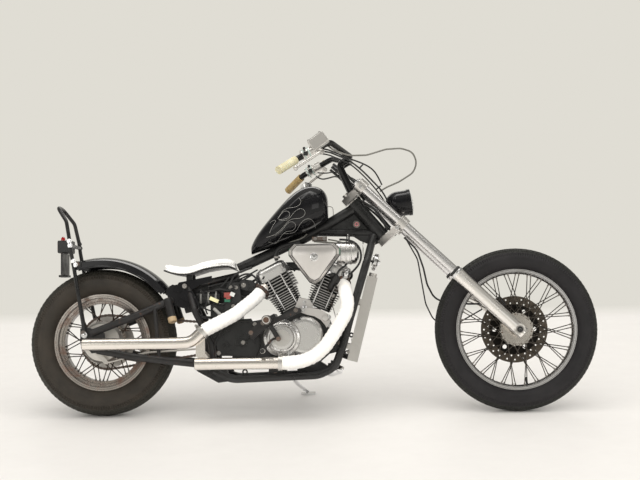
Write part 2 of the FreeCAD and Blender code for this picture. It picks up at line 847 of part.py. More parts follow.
def pivot_plate(hand):
    """The side plate behind the engine that holds the swingarm's pivot bolt."""
    inner = hand * (PIVOT_HALF + sizes.seat_gap)
    outer = hand * (PIVOT_HALF + 12)
    low, high = sorted((inner, outer))
    outline = [(405, 240), (450, 245), (540, 190), (540, 145), (500, 140), (410, 190)]
    bore = rod(PIVOT - LEFT * 200, PIVOT + LEFT * 200, sizes.pivot_bolt_radius + sizes.seat_gap)
    return plate(outline, low, high).cut(bore)


def horn_mount():
    """The tube between the downtubes with the horn's stub."""
    base, axis = horn_seat()
    middle = base - axis * 23
    cross = rod(Vector(middle.x, -92, middle.z), Vector(middle.x, 92, middle.z), sizes.horn_tube_radius)
    stub = rod(middle, base - axis * sizes.seat_gap, 5)
    return joined(cross, stub).cut(cradle_tube(1, sizes.seat_gap))


def horn_seat():
    """Where the horn's back lies and which way the horn points."""
    cos, sin = turn(sizes.horn_tilt)
    return Vector(1146, 0, 641), Vector(cos, 0, -sin)


def cradles():
    backbone = upright_node("frame_backbone")
    right = [cradle_tube(-1), pivot_plate(-1), horn_mount()] + engine_lugs(-1)
    left = [cradle_tube(1), pivot_plate(1), stand_lug()] + engine_lugs(1)
    feature("frame_cradle_right", joined(*right).cut(backbone))
    feature("frame_cradle_left", joined(*left).cut(backbone))


def rail_tube(hand, gap=0.0):
    """A seat rail from the spine to the rear mudguard's front end."""
    points = [(572, hand * 26, 588), (470, hand * 60, 564), (380, hand * 66, 548), (290, hand * 60, 534)]
    return tube(points, sizes.rail_tube_radius + gap)


def post_tube(hand, gap=0.0):
    """A rear upright from the lower cross tube to the seat rail."""
    points = [(480, hand * 118, 208), (470, hand * 118, 300), (402, hand * 118, 436), (366, hand * 66, 546)]
    return tube(points, sizes.rail_tube_radius + gap)


def rear_cross(gap=0.0):
    """The tube between the lower rails, behind the engine."""
    return rod(Vector(480, -118, 208), Vector(480, 118, 208), sizes.frame_tube_radius + gap)


def frame_rear():
    """Seat rails, rear uprights and their cross tubes, with the strut's upper lugs."""
    tubes = [rear_cross()]
    for hand in (-1, 1):
        tubes.extend([rail_tube(hand), post_tube(hand)])
        tubes.append(strut_lug([(338, 518), (362, 514), (388, 548), (366, 560), (338, 545)], hand))
    bridge = rod(Vector(372, -68, 549), Vector(372, 68, 549), sizes.rail_tube_radius)
    body = joined(bridge, *tubes)
    cradles = [cradle_tube(-1), cradle_tube(1), pivot_plate(-1), pivot_plate(1)]
    feature("frame_rear", body.cut(cradles + [upright_node("frame_backbone"), fender_room(sizes.seat_gap)]))


def strut_lug(outline, hand):
    """One cheek beside the rear strut's eye."""
    inner = hand * (sizes.strut_eye_half + sizes.seat_gap)
    outer = hand * (sizes.strut_eye_half + 6)
    low, high = sorted((inner, outer))
    return plate(outline, low, high)


def swingarm():
    s = sizes
    arms = []
    for hand in (-1, 1):
        y = hand * s.swingarm_half_width
        lower = tube([(-6, y, 281), (148, y, 250), (PIVOT.x, hand * 110, PIVOT.z)], s.swingarm_radius, 120)
        upper = tube([(-34, y, 350), (150, hand * 118, 420), (294, hand * 86, 484)], s.swingarm_radius, 120)
        low, high = sorted((y - hand * 9, y - hand))
        dropout = plate([(-78, 372), (-50, 378), (24, 352), (30, 276), (-30, 268), (-78, 325)], low, high)
        brace = rod(Vector(252, hand * 117, 240), Vector(232, hand * 109, 452), 8)
        lug = strut_lug([(414, 214), (446, 214), (447, 364), (419, 364)], hand)
        stub = rod(Vector(284, hand * 98, 490), Vector(310, hand * 127, 398), 17)
        arms.extend([lower, upper, dropout, brace, lug, stub])
    pivot = rod(PIVOT - LEFT * PIVOT_HALF, PIVOT + LEFT * PIVOT_HALF, 18)
    bolt = rod(PIVOT - LEFT * (PIVOT_HALF + 18), PIVOT + LEFT * (PIVOT_HALF + 18), s.pivot_bolt_radius)
    bridge = rod(Vector(294, -86, 484), Vector(294, 86, 484), s.swingarm_radius)
    axle = rod(REAR_AXLE - LEFT * 200, REAR_AXLE + LEFT * 200, s.rear_axle_radius)
    feature("swingarm", joined(pivot, bolt, bridge, *arms).cut(axle))
    nut = s.swingarm_half_width + 12
    revolved("rear_axle", [
        (0, -nut),
        (14, -nut),
        (14, -nut + 9),
        (s.rear_axle_radius, -nut + 9),
        (s.rear_axle_radius, nut - 9),
        (14, nut - 9),
        (14, nut),
        (0, nut),
    ], REAR_AXLE)


def rear_strut():
    """The damper between the seat rails and the swingarm."""
    half = LEFT * sizes.strut_eye_half
    top, bottom = Vector(352, 0, 531), Vector(432, 0, 352)
    along = (bottom - top).normalize()
    eyes = [rod(top - half, top + half, 12), rod(bottom - half, bottom + half, 12)]
    body = rod(top + along * 26, top + along * 124, sizes.strut_radius)
    feature("rear_strut", joined(body, rod(top, bottom, 7), *eyes))


# Engine

def cylinder_placement(angle):
    """The place of a cylinder whose own Z runs up its axis."""
    return Placement(CRANK, Rotation(LEFT, angle))


def crank_plate(outline, y_low, y_high):
    """A plate whose outline is measured from the crankshaft."""
    return plate([(CRANK.x + x, CRANK.z + z) for x, z in outline], y_low, y_high)


def engine_cases():
    s = sizes
    half = s.case_half_width
    crankcase = [
        (109, -68), (122, 0), (95, 80), (52, 116), (-1, 106), (-63, 126), (-115, 102), (-173, 72),
        (-173, -112), (-63, -134), (37, -130),
    ]
    gearbox = [(-168, 72), (-263, 56), (-277, 0), (-263, -68), (-168, -112)]
    sump = [(-40, -128), (60, -112), (88, -130), (84, -158), (20, -166), (-40, -160)]
    cases = joined(crank_plate(crankcase, -half, half),
                   crank_plate(gearbox, -half, s.chain_line - 18),
                   crank_plate(sump, -44, 44))
    feature("engine_cases", cases.cut([cylinder_space(s.rear_cylinder_angle),
                                       cylinder_space(s.front_cylinder_angle)]))
    spout = Vector(88 + s.seat_gap, 0, -146)
    revolved("oil_filter", [(0, 0), (27, 0), (29, 8), (29, 22), (15, 60), (0, 62)], CRANK + spout, FORWARD)


def cylinder_space(angle):
    """The room above a cylinder's seat on the cases."""
    s = sizes
    width = s.fin_width_bottom + 40
    space = Part.makeBox(width, 2 * s.case_half_width + 20, 200,
                         Vector(-width / 2, -s.case_half_width - 10, s.cylinder_base))
    space.Placement = cylinder_placement(angle)
    return space


def fins(count, first, pitch, width_low, width_high):
    """Square cooling fins with cut corners, stacked up a cylinder."""
    plates = []
    for index in range(int(count)):
        half = (width_low + (width_high - width_low) * index / (count - 1)) / 2
        cut = 0.3 * half
        outline = [(-half + cut, -half), (half - cut, -half), (half, -half + cut), (half, half - cut),
                   (half - cut, half), (-half + cut, half), (-half, half - cut), (-half, -half + cut)]
        base = [Vector(x, y, first + pitch * index) for x, y in outline]
        face = Part.Face(Part.makePolygon(base + base[:1]))
        plates.append(face.extrude(Vector(0, 0, sizes.fin_thickness)))
    return plates


def ribs(low, high, half_low, half_high):
    """The two bright upright ribs on a cylinder's right side, across its fins."""
    return [rod(Vector(x, -half_low, low), Vector(x, -half_high, high), 4) for x in (-28, 30)]


def cylinders():
    s = sizes
    barrels = []
    heads = []
    pitch = (s.cylinder_top - s.cylinder_base - 8) / s.fin_count
    head_base = s.cylinder_top + s.seat_gap
    dome_base = head_base + s.head_fin_count * s.head_fin_pitch
    for angle in (s.rear_cylinder_angle, s.front_cylinder_angle):
        tall = s.cylinder_top - s.cylinder_base
        barrel = Part.makeCylinder(s.barrel_radius, tall, Vector(0, 0, s.cylinder_base))
        stack = fins(s.fin_count, s.cylinder_base + 6, pitch, s.fin_width_bottom, s.fin_width_top)
        edges = ribs(s.cylinder_base + 8, s.cylinder_top - 2, s.fin_width_bottom / 2, s.fin_width_top / 2)
        barrels.append(joined(barrel, *stack, *edges))
        core = Part.makeCylinder(s.barrel_radius + 6, dome_base - head_base + 4, Vector(0, 0, head_base))
        stack = fins(s.head_fin_count, head_base, s.head_fin_pitch, s.head_fin_width, s.head_fin_width)
        width = s.head_fin_width - 6
        dome = Part.makeBox(width, width, s.head_top - dome_base, Vector(-width / 2, -width / 2, dome_base))
        upright_edges = [edge for edge in dome.Edges if abs(edge.tangentAt(edge.FirstParameter).z) > 0.9]
        dome = dome.makeFillet(32, upright_edges)
        rim = [edge for edge in dome.Edges if edge.BoundBox.ZMin > s.head_top - 1]
        edges = ribs(head_base, dome_base + 4, s.head_fin_width / 2, s.head_fin_width / 2)
        heads.append(joined(core, *stack, *edges, dome.makeFillet(26, rim)))
        barrels[-1].Placement = cylinder_placement(angle)
        heads[-1].Placement = cylinder_placement(angle)
    feature("cylinders", several(*barrels))
    feature("cylinder_heads", several(*heads))


def engine_covers():
    """The round covers of both sides, each with a stepped rim."""
    s = sizes
    seat = s.case_half_width + s.seat_gap
    clutch = CRANK + Vector(s.clutch_cover_back, -seat, s.clutch_cover_drop)
    front = CRANK + Vector(s.front_cover_ahead, -seat, s.front_cover_rise)
    left = CRANK + Vector(s.front_cover_ahead - 2, seat, s.front_cover_rise)
    revolved("clutch_cover", cover_profile(s.clutch_cover_radius, s.cover_depth), clutch, LEFT * -1)
    disc = turned_shape(flat_profile(s.front_cover_radius, s.cover_depth - 18), front, LEFT * -1)
    clutch_room = rod(clutch + LEFT * 5, clutch - LEFT * 90, s.clutch_cover_radius + s.seat_gap)
    feature("front_cover", disc.cut(clutch_room))
    revolved("left_cover", cover_profile(s.front_cover_radius - 7, s.cover_depth - 16), left)


def cover_profile(radius, depth):
    """A cover's half section: a bolted rim, a raised ring and a domed middle."""
    ring = radius - 16
    return [
        (0, 0), (radius, 0), (radius, depth - 30), (radius - 4, depth - 25), (ring + 3, depth - 22),
        (ring, depth - 9, ring - 2.5, depth - 3), (ring - 9, depth), (ring - 14, depth - 4), (0, depth - 1),
    ]


def flat_profile(radius, depth):
    """A smaller cover's half section with a sloping edge."""
    return [(0, 0), (radius, 0), (radius, depth - 12), (radius - 4, depth - 5), (radius - 12, depth - 1),
            (radius - 22, depth), (0, depth)]


def exhausts():
    """Wrapped pipes from both heads, each ending in a bare silencer with an open end."""
    s = sizes
    y = -PIPE_LINE
    rear_wrap = [(690, y + 144, 536), (652, y + 112, 488), (572, y + 36, 420), (457, y + 8, 361),
                 (440, y + 6, 351)]
    rear_bare = [(440, y + 6, 351), (395, y, 308), (330, y, 306), (s.rear_silencer_tail, y, 306)]
    front_wrap = [(1012, y + 150, 548), (1030, y + 96, 528), (1030, y + 46, 505), (1040, y + 18, 465),
                  (1032, y + 18, 420), (1004, y + 14, 373), (975, y + 10, 327), (944, y + 6, 284),
                  (904, y + 3, 248), (852, y, 226), (790, y, 220), (760, y, 220)]
    front_bare = [(760, y, 220), (s.front_silencer_tail, y, 220)]
    block_parts = [upright_node("cylinders"), upright_node("cylinder_heads")]
    pipes = (("exhaust_rear", rear_wrap, rear_bare), ("exhaust_front", front_wrap, front_bare))
    for label, wrap, bare in pipes:
        pipe = tube(wrap, s.pipe_radius + s.wrap_thickness, 120)
        silencer = tube(bare, s.silencer_radius, 120)
        tail = Vector(*bare[-1])
        outlet = rod(tail - FORWARD * 5, tail + FORWARD * s.silencer_bore_depth, s.silencer_bore)
        run = (Vector(*bare[0]) - Vector(*bare[1])).normalize()
        joint = Vector(*bare[0])
        clamp = rod(joint - run * 8, joint + run * 8, s.pipe_radius + s.wrap_thickness + 3)
        pieces = [pipe, silencer, clamp]
        if label == "exhaust_rear":
            pieces.append(silencer_hanger())
        feature(label, joined(*pieces).cut([outlet] + block_parts))


def silencer_hanger():
    """The plate inside both silencers, with the stud that reaches the frame's pivot plate."""
    s = sizes
    face = -PIPE_LINE + s.silencer_radius + 0.5
    outline = [(411, 322), (449, 330), (449, 262), (492, 218), (474, 198), (440, 228), (411, 252)]
    stud = rod(Vector(472, face + 4, 214), Vector(472, -PIVOT_HALF - 12 - s.seat_gap, 214), 7)
    return joined(plate(outline, face, face + 6), stud)


def upright(shapes):
    """Leaned shapes brought back to the upright frame, to cut others with."""
    back = LEAN.inverse()
    for shape in shapes:
        shape.Placement = back.multiply(shape.Placement)
    return shapes


def upright_node(label):
    """A finished sub-part's shape in the upright frame."""
    return upright([next(node for node in NODES if node.Label == label).Shape.copy()])[0]


def air_cleaner():
    """A three-cornered cover with a bevelled edge and a raised face."""
    s = sizes
    outline = [(-62, 354), (-40, 378), (124, 378), (145, 356), (145, 334), (64, 224), (42, 213), (20, 224),
               (-62, 332)]
    middle = Vector(41, 0, 318)
    inner = -s.air_cleaner_back
    body = crank_plate(outline, inner - s.air_cleaner_depth + 12, inner)
    layers = [(1.0, inner - s.air_cleaner_depth + 12), (0.90, inner - s.air_cleaner_depth)]
    wires = []
    for share, y in layers:
        ring = [CRANK + Vector(middle.x + (x - middle.x) * share, y, middle.z + (z - middle.z) * share)
                for x, z in outline]
        wires.append(Part.makePolygon(ring + ring[:1]))
    boss = rod(CRANK + Vector(41, inner - s.air_cleaner_depth + 2, 322),
               CRANK + Vector(41, inner - s.air_cleaner_depth - 3, 322), 15)
    feature("air_cleaner", joined(body, Part.makeLoft(wires, True, True), boss))


def canister():
    """A ribbed chrome canister beside the front head, hung from the frame's brace."""
    s = sizes
    start = CRANK + Vector(134, -78, 343)
    radius = s.canister_radius
    corners = [(0, 0), (radius - 2, 0)]
    for low in (14, 34, 54):
        corners += [(radius - 2, low), (radius, low + 2), (radius, low + 6), (radius - 2, low + 8)]
    corners += [(radius - 2, 74), (radius - 8, 84), (radius - 20, 91), (0, 94)]
    shell = turned_shape(corners, start, FORWARD)
    strap = rod(start + Vector(48, 20, 30), Vector(start.x + 48, -6, 758), 8)
    feature("canister", joined(shell, strap).cut([brace_shape(s.seat_gap), spine_shape(s.seat_gap),
                                                  upright_node("cylinder_heads")]))


def intake():
    """Carburettor body between the cylinders, joined to the air cleaner by its stub."""
    s = sizes
    reach = -s.air_cleaner_back + s.seat_gap
    body = joined(rod(CRANK + Vector(5, reach, 330), CRANK + Vector(5, 60, 330), 26),
                  block((CRANK.x - 33, -28, CRANK.z + 276), (CRANK.x + 21, 28, CRANK.z + 322)),
                  rod(CRANK + Vector(-93, 0, 295), CRANK + Vector(77, 0, 295), 18))
    feature("intake", body.cut([upright_node("cylinder_heads"), upright_node("cylinders"),
                                brace_shape(s.seat_gap), spine_shape(s.seat_gap)]))


def radiator():
    """Core, tanks and filler cap, on four tabs that reach back to the downtubes."""
    s = sizes
    half = CRADLE_LINE - 5
    depth = s.radiator_depth / 2
    length = s.radiator_length
    place = Placement(Vector(1055, 0, 222), Rotation(LEFT, s.radiator_tilt))
    pieces = [
        block((-depth + 4, -half + 6, 10), (depth - 4, half - 6, length - 10)),
        block((-depth, -half, 0), (depth, half, 26)),
        block((-depth, -half, length - 40), (depth, half, length)),
        rod(Vector(0, -half + 40, length - 4), Vector(0, -half + 40, length + 16), 17),
    ]
    for hand in (-1, 1):
        side = hand * half
        rail_low, rail_high = sorted((side, side - hand * 8))
        tab_low, tab_high = sorted((hand * (CRADLE_LINE - 5), hand * (CRADLE_LINE - 11)))
        pieces.append(block((-depth, rail_low, 20), (depth, rail_high, length - 30)))
        for level in (44, 236):
            pieces.append(block((-96, tab_low, level), (-depth + 6, tab_high, level + 22)))
    body = joined(*pieces)
    body.Placement = place
    feature("radiator", body.cut([cradle_tube(-1, s.seat_gap), cradle_tube(1, s.seat_gap), tab_limit(-1),
                                  tab_limit(1)]))
    base, axis = horn_seat()
    section = [(0, 0), (24, 0), (30, 5), (38, 8), (38, 20), (34, 24), (14, 27), (12, 34), (0, 34)]
    revolved("horn", section, base, axis)


def tab_limit(hand):
    """Everything behind a downtube, where no radiator tab goes."""
    y = hand * CRADLE_LINE
    points = [(229, 210), (184, 65), (155, -41), (120, -133), (-60, -133), (-60, 210)]
    low, high = sorted((y - 20, y + 20))
    return crank_plate(points, low, high)


def engine():
    engine_cases()
    cylinders()
    engine_covers()
    exhausts()
    air_cleaner()
    canister()
    intake()
    radiator()


def electrics():
    """The battery box and the coil under the seat, each on a short strap to the frame."""
    s = sizes
    box = block((462, -76, 398), (592, 62, 468))
    box = box.makeFillet(4, box.Edges)
    carrier = plate([(524, 440), (590, 440), (596, 470), (584, 556), (538, 556), (530, 520)], -86, -75)
    strap = rod(Vector(480, -60, 410), Vector(416, -116, 412), 6)
    feature("battery_box", joined(box, carrier, strap).cut(post_tube(-1, s.seat_gap)))
    coil = rod(Vector(404, -40, 496), Vector(500, -40, 496), 25)
    hanger = rod(Vector(452, -40, 510), Vector(452, -60, 560), 6)
    feature("coil", joined(coil, hanger).cut(rail_tube(-1, s.seat_gap)))


# Bodywork

def tank():
    """The tank as a loft of rounded sections from its low rear to its high front."""
    s = sizes
    stations = [
        (634, 676, 714, 0.30), (666, 686, 770, 0.60), (746, 716, 866, 0.90), (820, 746, 938, 1.0),
        (893, 776, 964, 0.98), (935, 798, 952, 0.86), (962, 822, 900, 0.52),
    ]
    wires = []
    for x, low, high, share in stations:
        half = s.tank_half_width * share
        middle = (low + high) / 2
        rise = (high - low) / 2
        points = []
        for index in range(12):
            cos, sin = turn(index * 30)
            points.append(Vector(x, half * math.copysign(abs(cos) ** 0.8, cos),
                                 middle + rise * math.copysign(abs(sin) ** 0.8, sin)))
        curve = Part.BSplineCurve()
        curve.interpolate(points, PeriodicFlag=True)
        wires.append(Part.Wire(curve.toShape()))
    shell = Part.makeLoft(wires, True)
    feature("fuel_tank", shell.cut([spine_shape(s.seat_gap), brace_shape(s.seat_gap)]))
    cap = rod(Vector(874, 0, 948), Vector(866, 0, 976), 24)
    feature("fuel_cap", cap.cut(upright_node("fuel_tank")))


def seat():
    s = sizes
    top = [(270, 643), (300, 632), (340, 625), (380, 627), (440, 645), (500, 655), (540, 656), (566, 646)]
    under = [(x, z - s.seat_thickness) for x, z in reversed(top)]
    feature("seat", plate(top + under, -s.seat_half_width, s.seat_half_width))
    pan_top = [(x, z - s.seat_thickness - s.seat_gap) for x, z in top]
    pan_under = [(x, z - 6) for x, z in reversed(pan_top)]
    edge = s.seat_half_width - 6
    pan = plate(pan_top + pan_under, -edge, edge)
    rails = [rail_tube(-1, s.seat_gap), rail_tube(1, s.seat_gap)]
    feet = [block((360, hand * 58 - 6, 551), (384, hand * 58 + 6, 596)) for hand in (-1, 1)]
    cross = rod(Vector(372, -90, 549), Vector(372, 90, 549), s.rail_tube_radius + s.seat_gap)
    feature("seat_pan", joined(pan, *feet).cut(rails + [cross, upright_node("frame_rear"),
                                                       spine_shape(s.seat_gap)]))


def fender_room(gap):
    """The rear mudguard's outside as a full solid, a gap wider."""
    s = sizes
    half = s.fender_half_width + gap
    shoulder = s.fender_radius - 16 + gap
    rim = Part.Arc(Vector(shoulder, 0, -half), Vector(s.fender_radius + gap, 0, 0), Vector(shoulder, 0, half))
    ends = [Vector(shoulder, 0, half), Vector(0, 0, half), Vector(0, 0, -half), Vector(shoulder, 0, -half)]
    wire = Part.Wire([rim.toShape()] + Part.makePolygon(ends).Edges)
    solid = Part.Face(wire).revolve(Vector(0, 0, 0), UP, 360)
    solid.Placement = Placement(REAR_AXLE, Rotation(UP, LEFT))
    return solid


def fender():
    s = sizes
    half = s.fender_half_width
    wall = s.fender_wall
    shoulder = s.fender_radius - 16
    corners = [
        (s.fender_skirt, -half),
        (shoulder, -half, s.fender_radius, 0),
        (shoulder, half),
        (s.fender_skirt, half),
        (s.fender_skirt, half - wall),
        (shoulder - wall / 2, half - wall, s.fender_radius - wall, 0),
        (shoulder - wall / 2, -half + wall),
        (s.fender_skirt, -half + wall),
    ]
    sweep = s.fender_end - s.fender_start
    revolved("rear_fender", corners, REAR_AXLE, LEFT * -1, angle=sweep, start=s.fender_start)


def sissy_bar():
    """The hoop over the rear wheel, with a tab on each side of the mudguard and the lamp's cross rod."""
    s = sizes
    beside = s.fender_half_width + s.sissy_radius + 0.5
    foot = s.swingarm_half_width - 1 + s.sissy_radius + s.seat_gap
    side = [(-58, foot, 345), (-64, foot, 392), (-88, 118, 520), (-108, beside, 612), (-124, beside, 700),
            (-129, beside, 741), (-146, 80, 826), (-190, 48, 888)]
    hoop = tube(side + [(x, -y, z) for x, y, z in reversed(side)], s.sissy_radius, 45)
    lamp_rod = rod(Vector(-127, -beside, 722), Vector(-127, beside, 722), s.sissy_radius)
    tabs = []
    for hand in (-1, 1):
        low, high = sorted((hand * (s.fender_half_width + s.seat_gap), hand * (s.fender_half_width + 6)))
        tabs.append(block((-114, low, 630), (-82, high, 655)))
    feature("sissy_bar", joined(hoop, lamp_rod, *tabs))


def tail_light():
    """The lamp behind its cross rod, with the number plate's bracket under it."""
    s = sizes
    front = -127 - s.sissy_radius - s.seat_gap
    lamp = block((front - 58, -42, s.tail_light_base), (front, 42, s.tail_light_base + 54))
    feature("tail_light", lamp.makeFillet(5, lamp.Edges))
    holder = block((-172, -70, 600), (-166, 70, s.tail_light_base - s.seat_gap))
    feature("plate_bracket", joined(holder, block((-190, -30, 592), (-152, 30, 601))))


def foot_controls():
    """On each side a bar on two studs, with the peg and a pedal."""
    s = sizes
    line = s.case_half_width + s.cover_depth + s.foot_gap
    start = s.case_half_width + s.seat_gap
    for hand, label in ((-1, "foot_controls_right"), (1, "foot_controls_left")):
        y = hand * line
        bar = plate([(621, 347), (648, 315), (699, 360), (749, 386), (848, 427), (843, 444), (735, 404),
                     (691, 400)],
                    y - 6, y + 6)
        studs = [rod(Vector(x, hand * start, z), Vector(x, y, z), 10) for x, z in ((826, 435), (690, 384))]
        if hand > 0:
            studs = studs[:1]
        boss = rod(Vector(711, y, 396), Vector(711, y + hand * 24, 396), 20)
        peg = rod(Vector(711, y, 396), Vector(711, y + hand * 118, 396), 16)
        flange = rod(Vector(711, y + hand * 114, 396), Vector(711, y + hand * 120, 396), 18.5)
        arm = rod(Vector(711, y + hand * 6, 390), Vector(754, y + hand * 6, 318), 10)
        pedal = tube([(752, y + hand * 8, 320), (728, y + hand * 9, 318), (686, y + hand * 10, 267)], 5, 24)
        pad = rod(Vector(690, y + hand * 4, 270), Vector(690, y + hand * 60, 270), 9)
        feature(label, joined(bar, boss, peg, flange, arm, pedal, pad, *studs))


def side_plate():
    """The black plate on the gearbox's right side that reaches back to the rear upright."""
    face = -sizes.case_half_width - sizes.seat_gap
    outline = [(500, 250), (490, 300), (470, 345), (476, 372), (560, 400), (636, 404), (668, 352), (672, 296),
               (655, 248)]
    cover = plate(outline, face - 12, face)
    hollow = plate([(522, 290), (514, 372), (600, 372), (600, 290)], face - 16, face - 8)
    boss = rod(Vector(612, face - 2, 330), Vector(612, face - 20, 330), 14)
    feature("side_plate", joined(cover.cut(hollow), boss))


# Rear drive and brake

def chain():
    s = sizes
    front = CRANK + Vector(-243, 0, 0)
    front_radius = 40.0
    outer, inner = s.sprocket_radius + 8, s.sprocket_radius + 0.3
    feature("chain", chain_loop(front, front_radius + 8, outer).cut(chain_loop(front, front_radius, inner)))


def chain_loop(front, front_radius, rear_radius):
    """A belt-shaped prism round both sprockets."""
    span = front - REAR_AXLE
    tilt = math.atan2(span.z, span.x)
    offset = math.acos((rear_radius - front_radius) / span.Length)
    half = 7.0
    y = sizes.chain_line - half
    corners = []
    for centre, radius, sign in ((REAR_AXLE, rear_radius, 1), (front, front_radius, 1),
                                 (front, front_radius, -1), (REAR_AXLE, rear_radius, -1)):
        angle = tilt + sign * offset
        corners.append(Vector(centre.x + radius * math.cos(angle), y, centre.z + radius * math.sin(angle)))
    tip = Vector(front.x + front_radius * math.cos(tilt), y, front.z + front_radius * math.sin(tilt))
    tail = Vector(REAR_AXLE.x - rear_radius * math.cos(tilt), y, REAR_AXLE.z - rear_radius * math.sin(tilt))
    wire = Part.Wire([
        Part.LineSegment(corners[0], corners[1]).toShape(),
        Part.Arc(corners[1], tip, corners[2]).toShape(),
        Part.LineSegment(corners[2], corners[3]).toShape(),
        Part.Arc(corners[3], tail, corners[0]).toShape(),
    ])
    return Part.Face(wire).extrude(LEFT * (2 * half))


def gearbox_boss():
    """The drive sprocket's guard, from the gearbox to the inside of the chain's front loop."""
    s = sizes
    inner = s.chain_line - 18 + s.seat_gap
    centre = CRANK + Vector(-243, inner, 0)
    ring = rod(centre, centre + LEFT * 22, 39.5)
    feature("drive_sprocket", joined(ring, rod(centre, centre + LEFT * 30, 16)))


def rear_brake():
    """The fixed brake plate with its lever, and the rod to a crank on the frame's cross tube."""
    s = sizes
    face = -(s.rear_flange_offset + 5 + s.brake_gap)
    bore = s.rear_axle_radius + s.axle_clearance
    panel = turned_shape([(24, face), (s.rear_flange_radius, face), (s.rear_flange_radius - 10, face - 18),
                          (30, face - 26), (bore, face - 26), (bore, face - 9), (24, face - 9)], REAR_AXLE)
    y = face - 42
    cam = rod(Vector(-16, face - 12, 272), Vector(-16, y - 5, 272), 9)
    lever = plate([(-26, 278), (-12, 284), (33, 232), (28, 221), (17, 222)], y - 5, y)
    pull_rod = tube([(25, y - 2, 227), (195, y - 2, 268), (420, y - 2, 281)], 4, 200)
    crank = plate([(408, 288), (424, 290), (492, 218), (470, 204)], y - 6, y)
    feature("rear_brake", joined(panel, cam, lever, pull_rod, crank).cut(rear_cross(s.seat_gap)))


# Side stand

def stand_pivot():
    s = sizes
    return Vector(s.stand_pivot_x, CRADLE_LINE + s.stand_pivot_out, s.stand_pivot_z)


def stand_foot():
    """The foot's sole, on the floor beside the leaning bike."""
    s = sizes
    return Vector(s.stand_foot_x, s.stand_foot_y, s.stand_foot_y * math.tan(math.radians(s.lean_angle)))


def stand_axis():
    """Turning about it swings the leg back and up beside the rail."""
    return (stand_foot() - stand_pivot()).cross(STAND_FOLDED).normalize()


def side_stand():
    s = sizes
    pivot, foot, axis = stand_pivot(), stand_foot(), stand_axis()
    ankle = foot + Vector(0, -8, 14)
    along = (ankle - pivot).normalize()
    half = s.stand_eye_thickness / 2
    eye = rod(pivot - axis * half, pivot + axis * half, s.stand_eye_radius)
    bore = rod(pivot - axis * 30, pivot + axis * 30, s.stand_pin_radius + s.axle_clearance)
    neck = s.stand_eye_radius + s.stand_leg_radius
    shank = rod(pivot + along * (s.stand_eye_radius - 2), pivot + along * (neck + 10), half - 1.2)
    leg = tube([pivot + along * neck, pivot + along * 90 + Vector(-2, 4, -4), ankle], s.stand_leg_radius, 60)
    pad = Part.makeBox(64, 36, 7, Vector(-28, -18, 0))
    pad.Placement = Placement(foot, Rotation(FORWARD, s.lean_angle))
    feature("side_stand", joined(eye, shank, leg, pad).cut(bore))


def stand_lug():
    """The left lower rail's bracket and pin that carry the side stand."""
    s = sizes
    pivot, axis = stand_pivot(), stand_axis()
    top = s.stand_eye_thickness / 2 + s.seat_gap
    disc = rod(pivot + axis * top, pivot + axis * (top + 7), s.stand_eye_radius)
    pin = rod(pivot - axis * (s.stand_eye_thickness / 2 + 4), pivot + axis * (top + 4), s.stand_pin_radius)
    inward = (LEFT * -1).cross(axis).cross(axis).normalize() * -1
    arm = Part.makeBox(s.stand_pivot_out, 22, 7, Vector(0, -11, 0))
    arm.Placement = Placement(pivot + axis * top, Rotation(inward, axis.cross(inward), axis, "ZXY"))
    return joined(disc, pin, arm)


front_wheel()
rear_wheel()
steering()
feature("frame_backbone", backbone_shape())
cradles()
swingarm()
rear_strut()
frame_rear()
engine()
electrics()
tank()
seat()
fender()
sissy_bar()
tail_light()
foot_controls()
side_plate()
chain()
gearbox_boss()
rear_brake()
side_stand()
doc.recompute()


def centre_on_floor():
    """Move every sub-part so that the origin is at the middle of the whole bike's box, on the floor."""
    box = FreeCAD.BoundBox()
    for node in NODES:
        box.add(node.Shape.optimalBoundingBox(False))
    offset = Vector(-box.Center.x, -box.Center.y, -box.ZMin)
    for node in NODES:
        node.Placement = Placement(offset, Rotation()).multiply(node.Placement)
    doc.recompute()
    return offset


OFFSET = centre_on_floor()


def check():
    """Every object is sound before anything is written."""
    for obj in doc.Objects:
        if "Invalid" in obj.State or "Error" in obj.State:
            raise RuntimeError(f"{obj.Label} failed: {obj.State}")
    for node in NODES:
        if node.Shape.isNull() or not node.Shape.isValid():
            raise RuntimeError(f"{node.Label} has no valid shape")


check()
os.makedirs("parts", exist_ok=True)
for node in NODES:
    node.Shape.exportStep(f"parts/{node.Label}.step")
print(len(NODES), "sub-parts")
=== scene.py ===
import math

import bmesh
import bpy
from mathutils import Matrix, Vector
from mathutils.bvhtree import BVHTree


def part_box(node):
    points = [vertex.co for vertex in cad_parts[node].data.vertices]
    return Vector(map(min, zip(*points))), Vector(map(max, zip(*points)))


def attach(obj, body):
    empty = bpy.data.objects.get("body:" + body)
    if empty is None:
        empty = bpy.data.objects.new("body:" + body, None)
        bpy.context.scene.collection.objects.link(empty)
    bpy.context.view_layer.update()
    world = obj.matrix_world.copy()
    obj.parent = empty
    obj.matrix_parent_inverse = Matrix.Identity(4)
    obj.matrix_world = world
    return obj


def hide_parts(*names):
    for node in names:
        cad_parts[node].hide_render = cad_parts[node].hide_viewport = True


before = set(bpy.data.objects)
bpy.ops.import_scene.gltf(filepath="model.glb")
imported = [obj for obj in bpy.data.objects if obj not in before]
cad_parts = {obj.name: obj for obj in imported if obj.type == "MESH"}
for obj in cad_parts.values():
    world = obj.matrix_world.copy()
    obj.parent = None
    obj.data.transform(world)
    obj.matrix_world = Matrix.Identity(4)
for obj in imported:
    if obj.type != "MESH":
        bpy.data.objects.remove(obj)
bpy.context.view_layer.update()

# The upright bike's own frame, as in the part's source: millimetres, X forward from the rear axle,
# Y to the rider's left, Z up. at() leans a point onto the side stand and gives metres.
LEAN = math.radians(10)
FORK_RAKE, STEM_RAKE = math.radians(46.7), math.radians(40.55)
